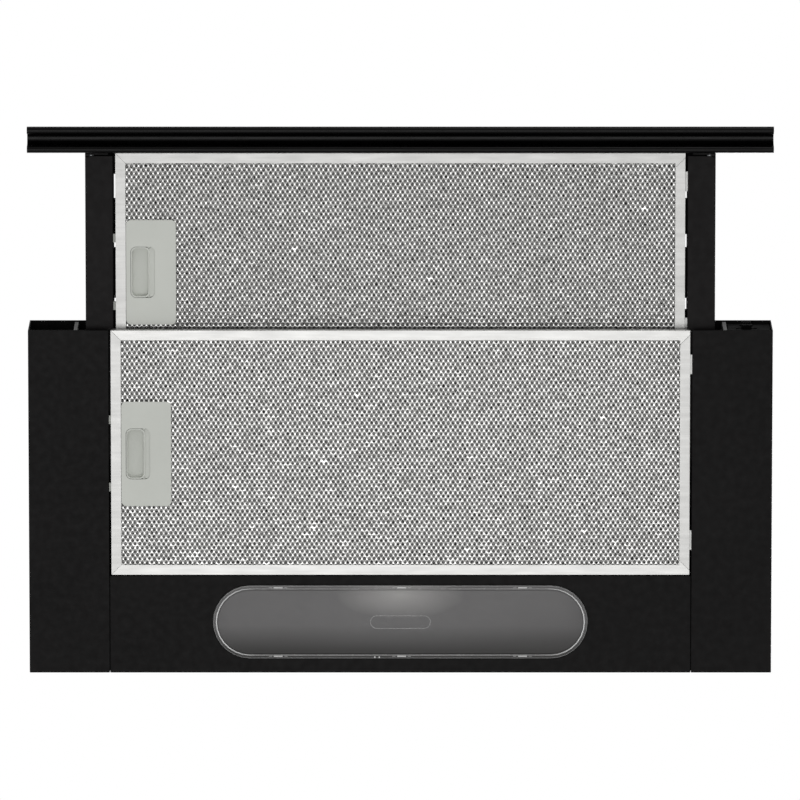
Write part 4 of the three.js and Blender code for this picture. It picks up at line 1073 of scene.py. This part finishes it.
def part_posts_from_fascia():
    """Trims the posts just behind the fascia, except for a tongue at their outer edge."""
    for word, side in SIDES:
        shown = scene.objects[f"{word}_post_shown"]
        lowest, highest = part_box(f"{word}_post")
        outer = max(abs(lowest.x), abs(highest.x))
        bm = bmesh.new()
        bm.from_mesh(shown.data)
        cut_away(bm, Vector((0, lowest.y + POST_TRIM, 0)), Vector((0, -1, 0)))
        bmesh.ops.recalc_face_normals(bm, faces=bm.faces)
        bmesh.ops.triangulate(bm, faces=bm.faces, ngon_method="EAR_CLIP")
        bm.to_mesh(shown.data)
        bm.free()
        x0, x1 = mirrored(side, outer, outer - POST_TONGUE)
        tongue = bmesh.new()
        end = (x1, lowest.y + POST_TRIM + 1 * MM, highest.z - 2 * MM)
        add_block(tongue, (x0, lowest.y, lowest.z), end)
        finish_piece(tongue, f"{word}_post_tongue", f"{word}_post", POST_PAINTED_LIGHTER_FINISH)


def narrow_drawer_slots():
    """Black ledges on the posts, high behind the front filter, that narrow the slots beside it."""
    for word, side in SIDES:
        lowest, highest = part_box(f"{word}_post")
        inner = min(abs(lowest.x), abs(highest.x))
        x0, x1 = mirrored(side, inner - 0.4 * MM, inner + 0.6 * MM)
        bm = bmesh.new()
        add_block(
            bm, (x0, lowest.y + 4 * MM, highest.z - 8 * MM), (x1, highest.y - 100 * MM, highest.z - 7 * MM))
        finish_piece(bm, f"{word}_post_ledge", f"{word}_post")


def front_lugs():
    """Pale support lugs of the rear filter's front corners, seen in the seams beside it."""
    lowest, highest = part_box("rear_filter_frame")
    for word, side in SIDES:
        x0, x1 = mirrored(side, highest.x + 0.45 * MM, highest.x + 1.7 * MM)
        bm = bmesh.new()
        add_block(
            bm, (x0, lowest.y + 6.5 * MM, lowest.z + 1 * MM), (x1, lowest.y + 9.5 * MM, lowest.z + 3 * MM),
            0.4 * MM)
        finish_piece(bm, f"{word}_filter_lug", f"{word}_front_guide")


# ------------------------------------------------------------------ motor box and outlet
LONG_WALL_SCREWS = (-205 * MM, -70 * MM, 70 * MM, 205 * MM)
SCREW_ABOVE_BOTTOM = 14 * MM
SCREW_BELOW_TOP = 9 * MM
SCREW_FROM_CORNER = 30 * MM
FLANGE_SCREW_RADIUS = 64.8 * MM
FLANGE_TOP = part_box("motor_box")[1].z + 2.3 * MM
FIELD_PLACES = (-137.5 * MM, 0.0, 137.5 * MM)
FIELD_SIZE = (105 * MM, 72 * MM, 12 * MM)
FIELD_PROFILE = ((0, -0.2), (0.2, 0.05), (1.2, 0.5), (2.4, 0.9), (3.2, 1.0))


def box_screws():
    """Screws in the motor box's four walls, each with its cross turned by its own angle."""
    lowest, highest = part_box("motor_box")
    bm = bmesh.new()
    for level in (lowest.z + SCREW_ABOVE_BOTTOM, highest.z - SCREW_BELOW_TOP):
        for x in LONG_WALL_SCREWS:
            add_screw(bm, (x, lowest.y, level), (0, -1, 0), turned=9 * x)
            add_screw(bm, (x, highest.y, level), (0, 1, 0), turned=7 * x)
        for y in (lowest.y + SCREW_FROM_CORNER, highest.y - SCREW_FROM_CORNER):
            add_screw(bm, (lowest.x, y, level), (-1, 0, 0), turned=11 * y)
            add_screw(bm, (highest.x, y, level), (1, 0, 0), turned=5 * y)
    add_flange_screws(bm)
    finish_piece(bm, "box_screws", "motor_bracket")


def add_flange_screws(bm):
    """Four screws round the outlet's flange."""
    lowest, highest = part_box("outlet_spigot")
    centre = (lowest + highest) / 2
    for quarter in range(4):
        angle = math.radians(45 + 90 * quarter)
        x = centre.x + FLANGE_SCREW_RADIUS * math.cos(angle)
        y = centre.y + FLANGE_SCREW_RADIUS * math.sin(angle)
        add_screw(bm, (x, y, FLANGE_TOP), (0, 0, 1), radius=2.3 * MM, turned=angle)


def pressed_fields():
    """Low rounded fields that stiffen the motor box's front and back walls."""
    lowest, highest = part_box("motor_box")
    middle = (lowest.z + highest.z) / 2
    bm = bmesh.new()
    for wall, facing in ((lowest.y, -1), (highest.y, 1)):
        for x in FIELD_PLACES:
            add_pressed_field(bm, Vector((x, wall, middle)), facing)
    finish_piece(bm, "box_pressed_fields", "motor_box")


def add_pressed_field(bm, centre, facing):
    """One field raised from a wall that faces front (-1) or back (1)."""
    length, height, corner = FIELD_SIZE
    loops = [
        at_height(rounded_loop(length, height, corner, inset * MM), rise * MM)
        for inset, rise in FIELD_PROFILE
    ]
    add_loft(bm, loops, lambda x, z, rise: centre + Vector((x, facing * rise, z)), capped=True)
    bmesh.ops.recalc_face_normals(bm, faces=bm.faces)


make_camera()
make_world()
for soft_box in SOFT_BOXES:
    make_light(*soft_box)
make_floor()
dress_sheets()
dress_mouldings()
for filter_name in FILTERS:
    dress_filter(filter_name)
lens_tray()
lens_ridge()
lens_lines()
lens_lugs()
close_seams()
part_posts_from_fascia()
narrow_drawer_slots()
front_lugs()
box_screws()
pressed_fields()
dress_kept_nodes()
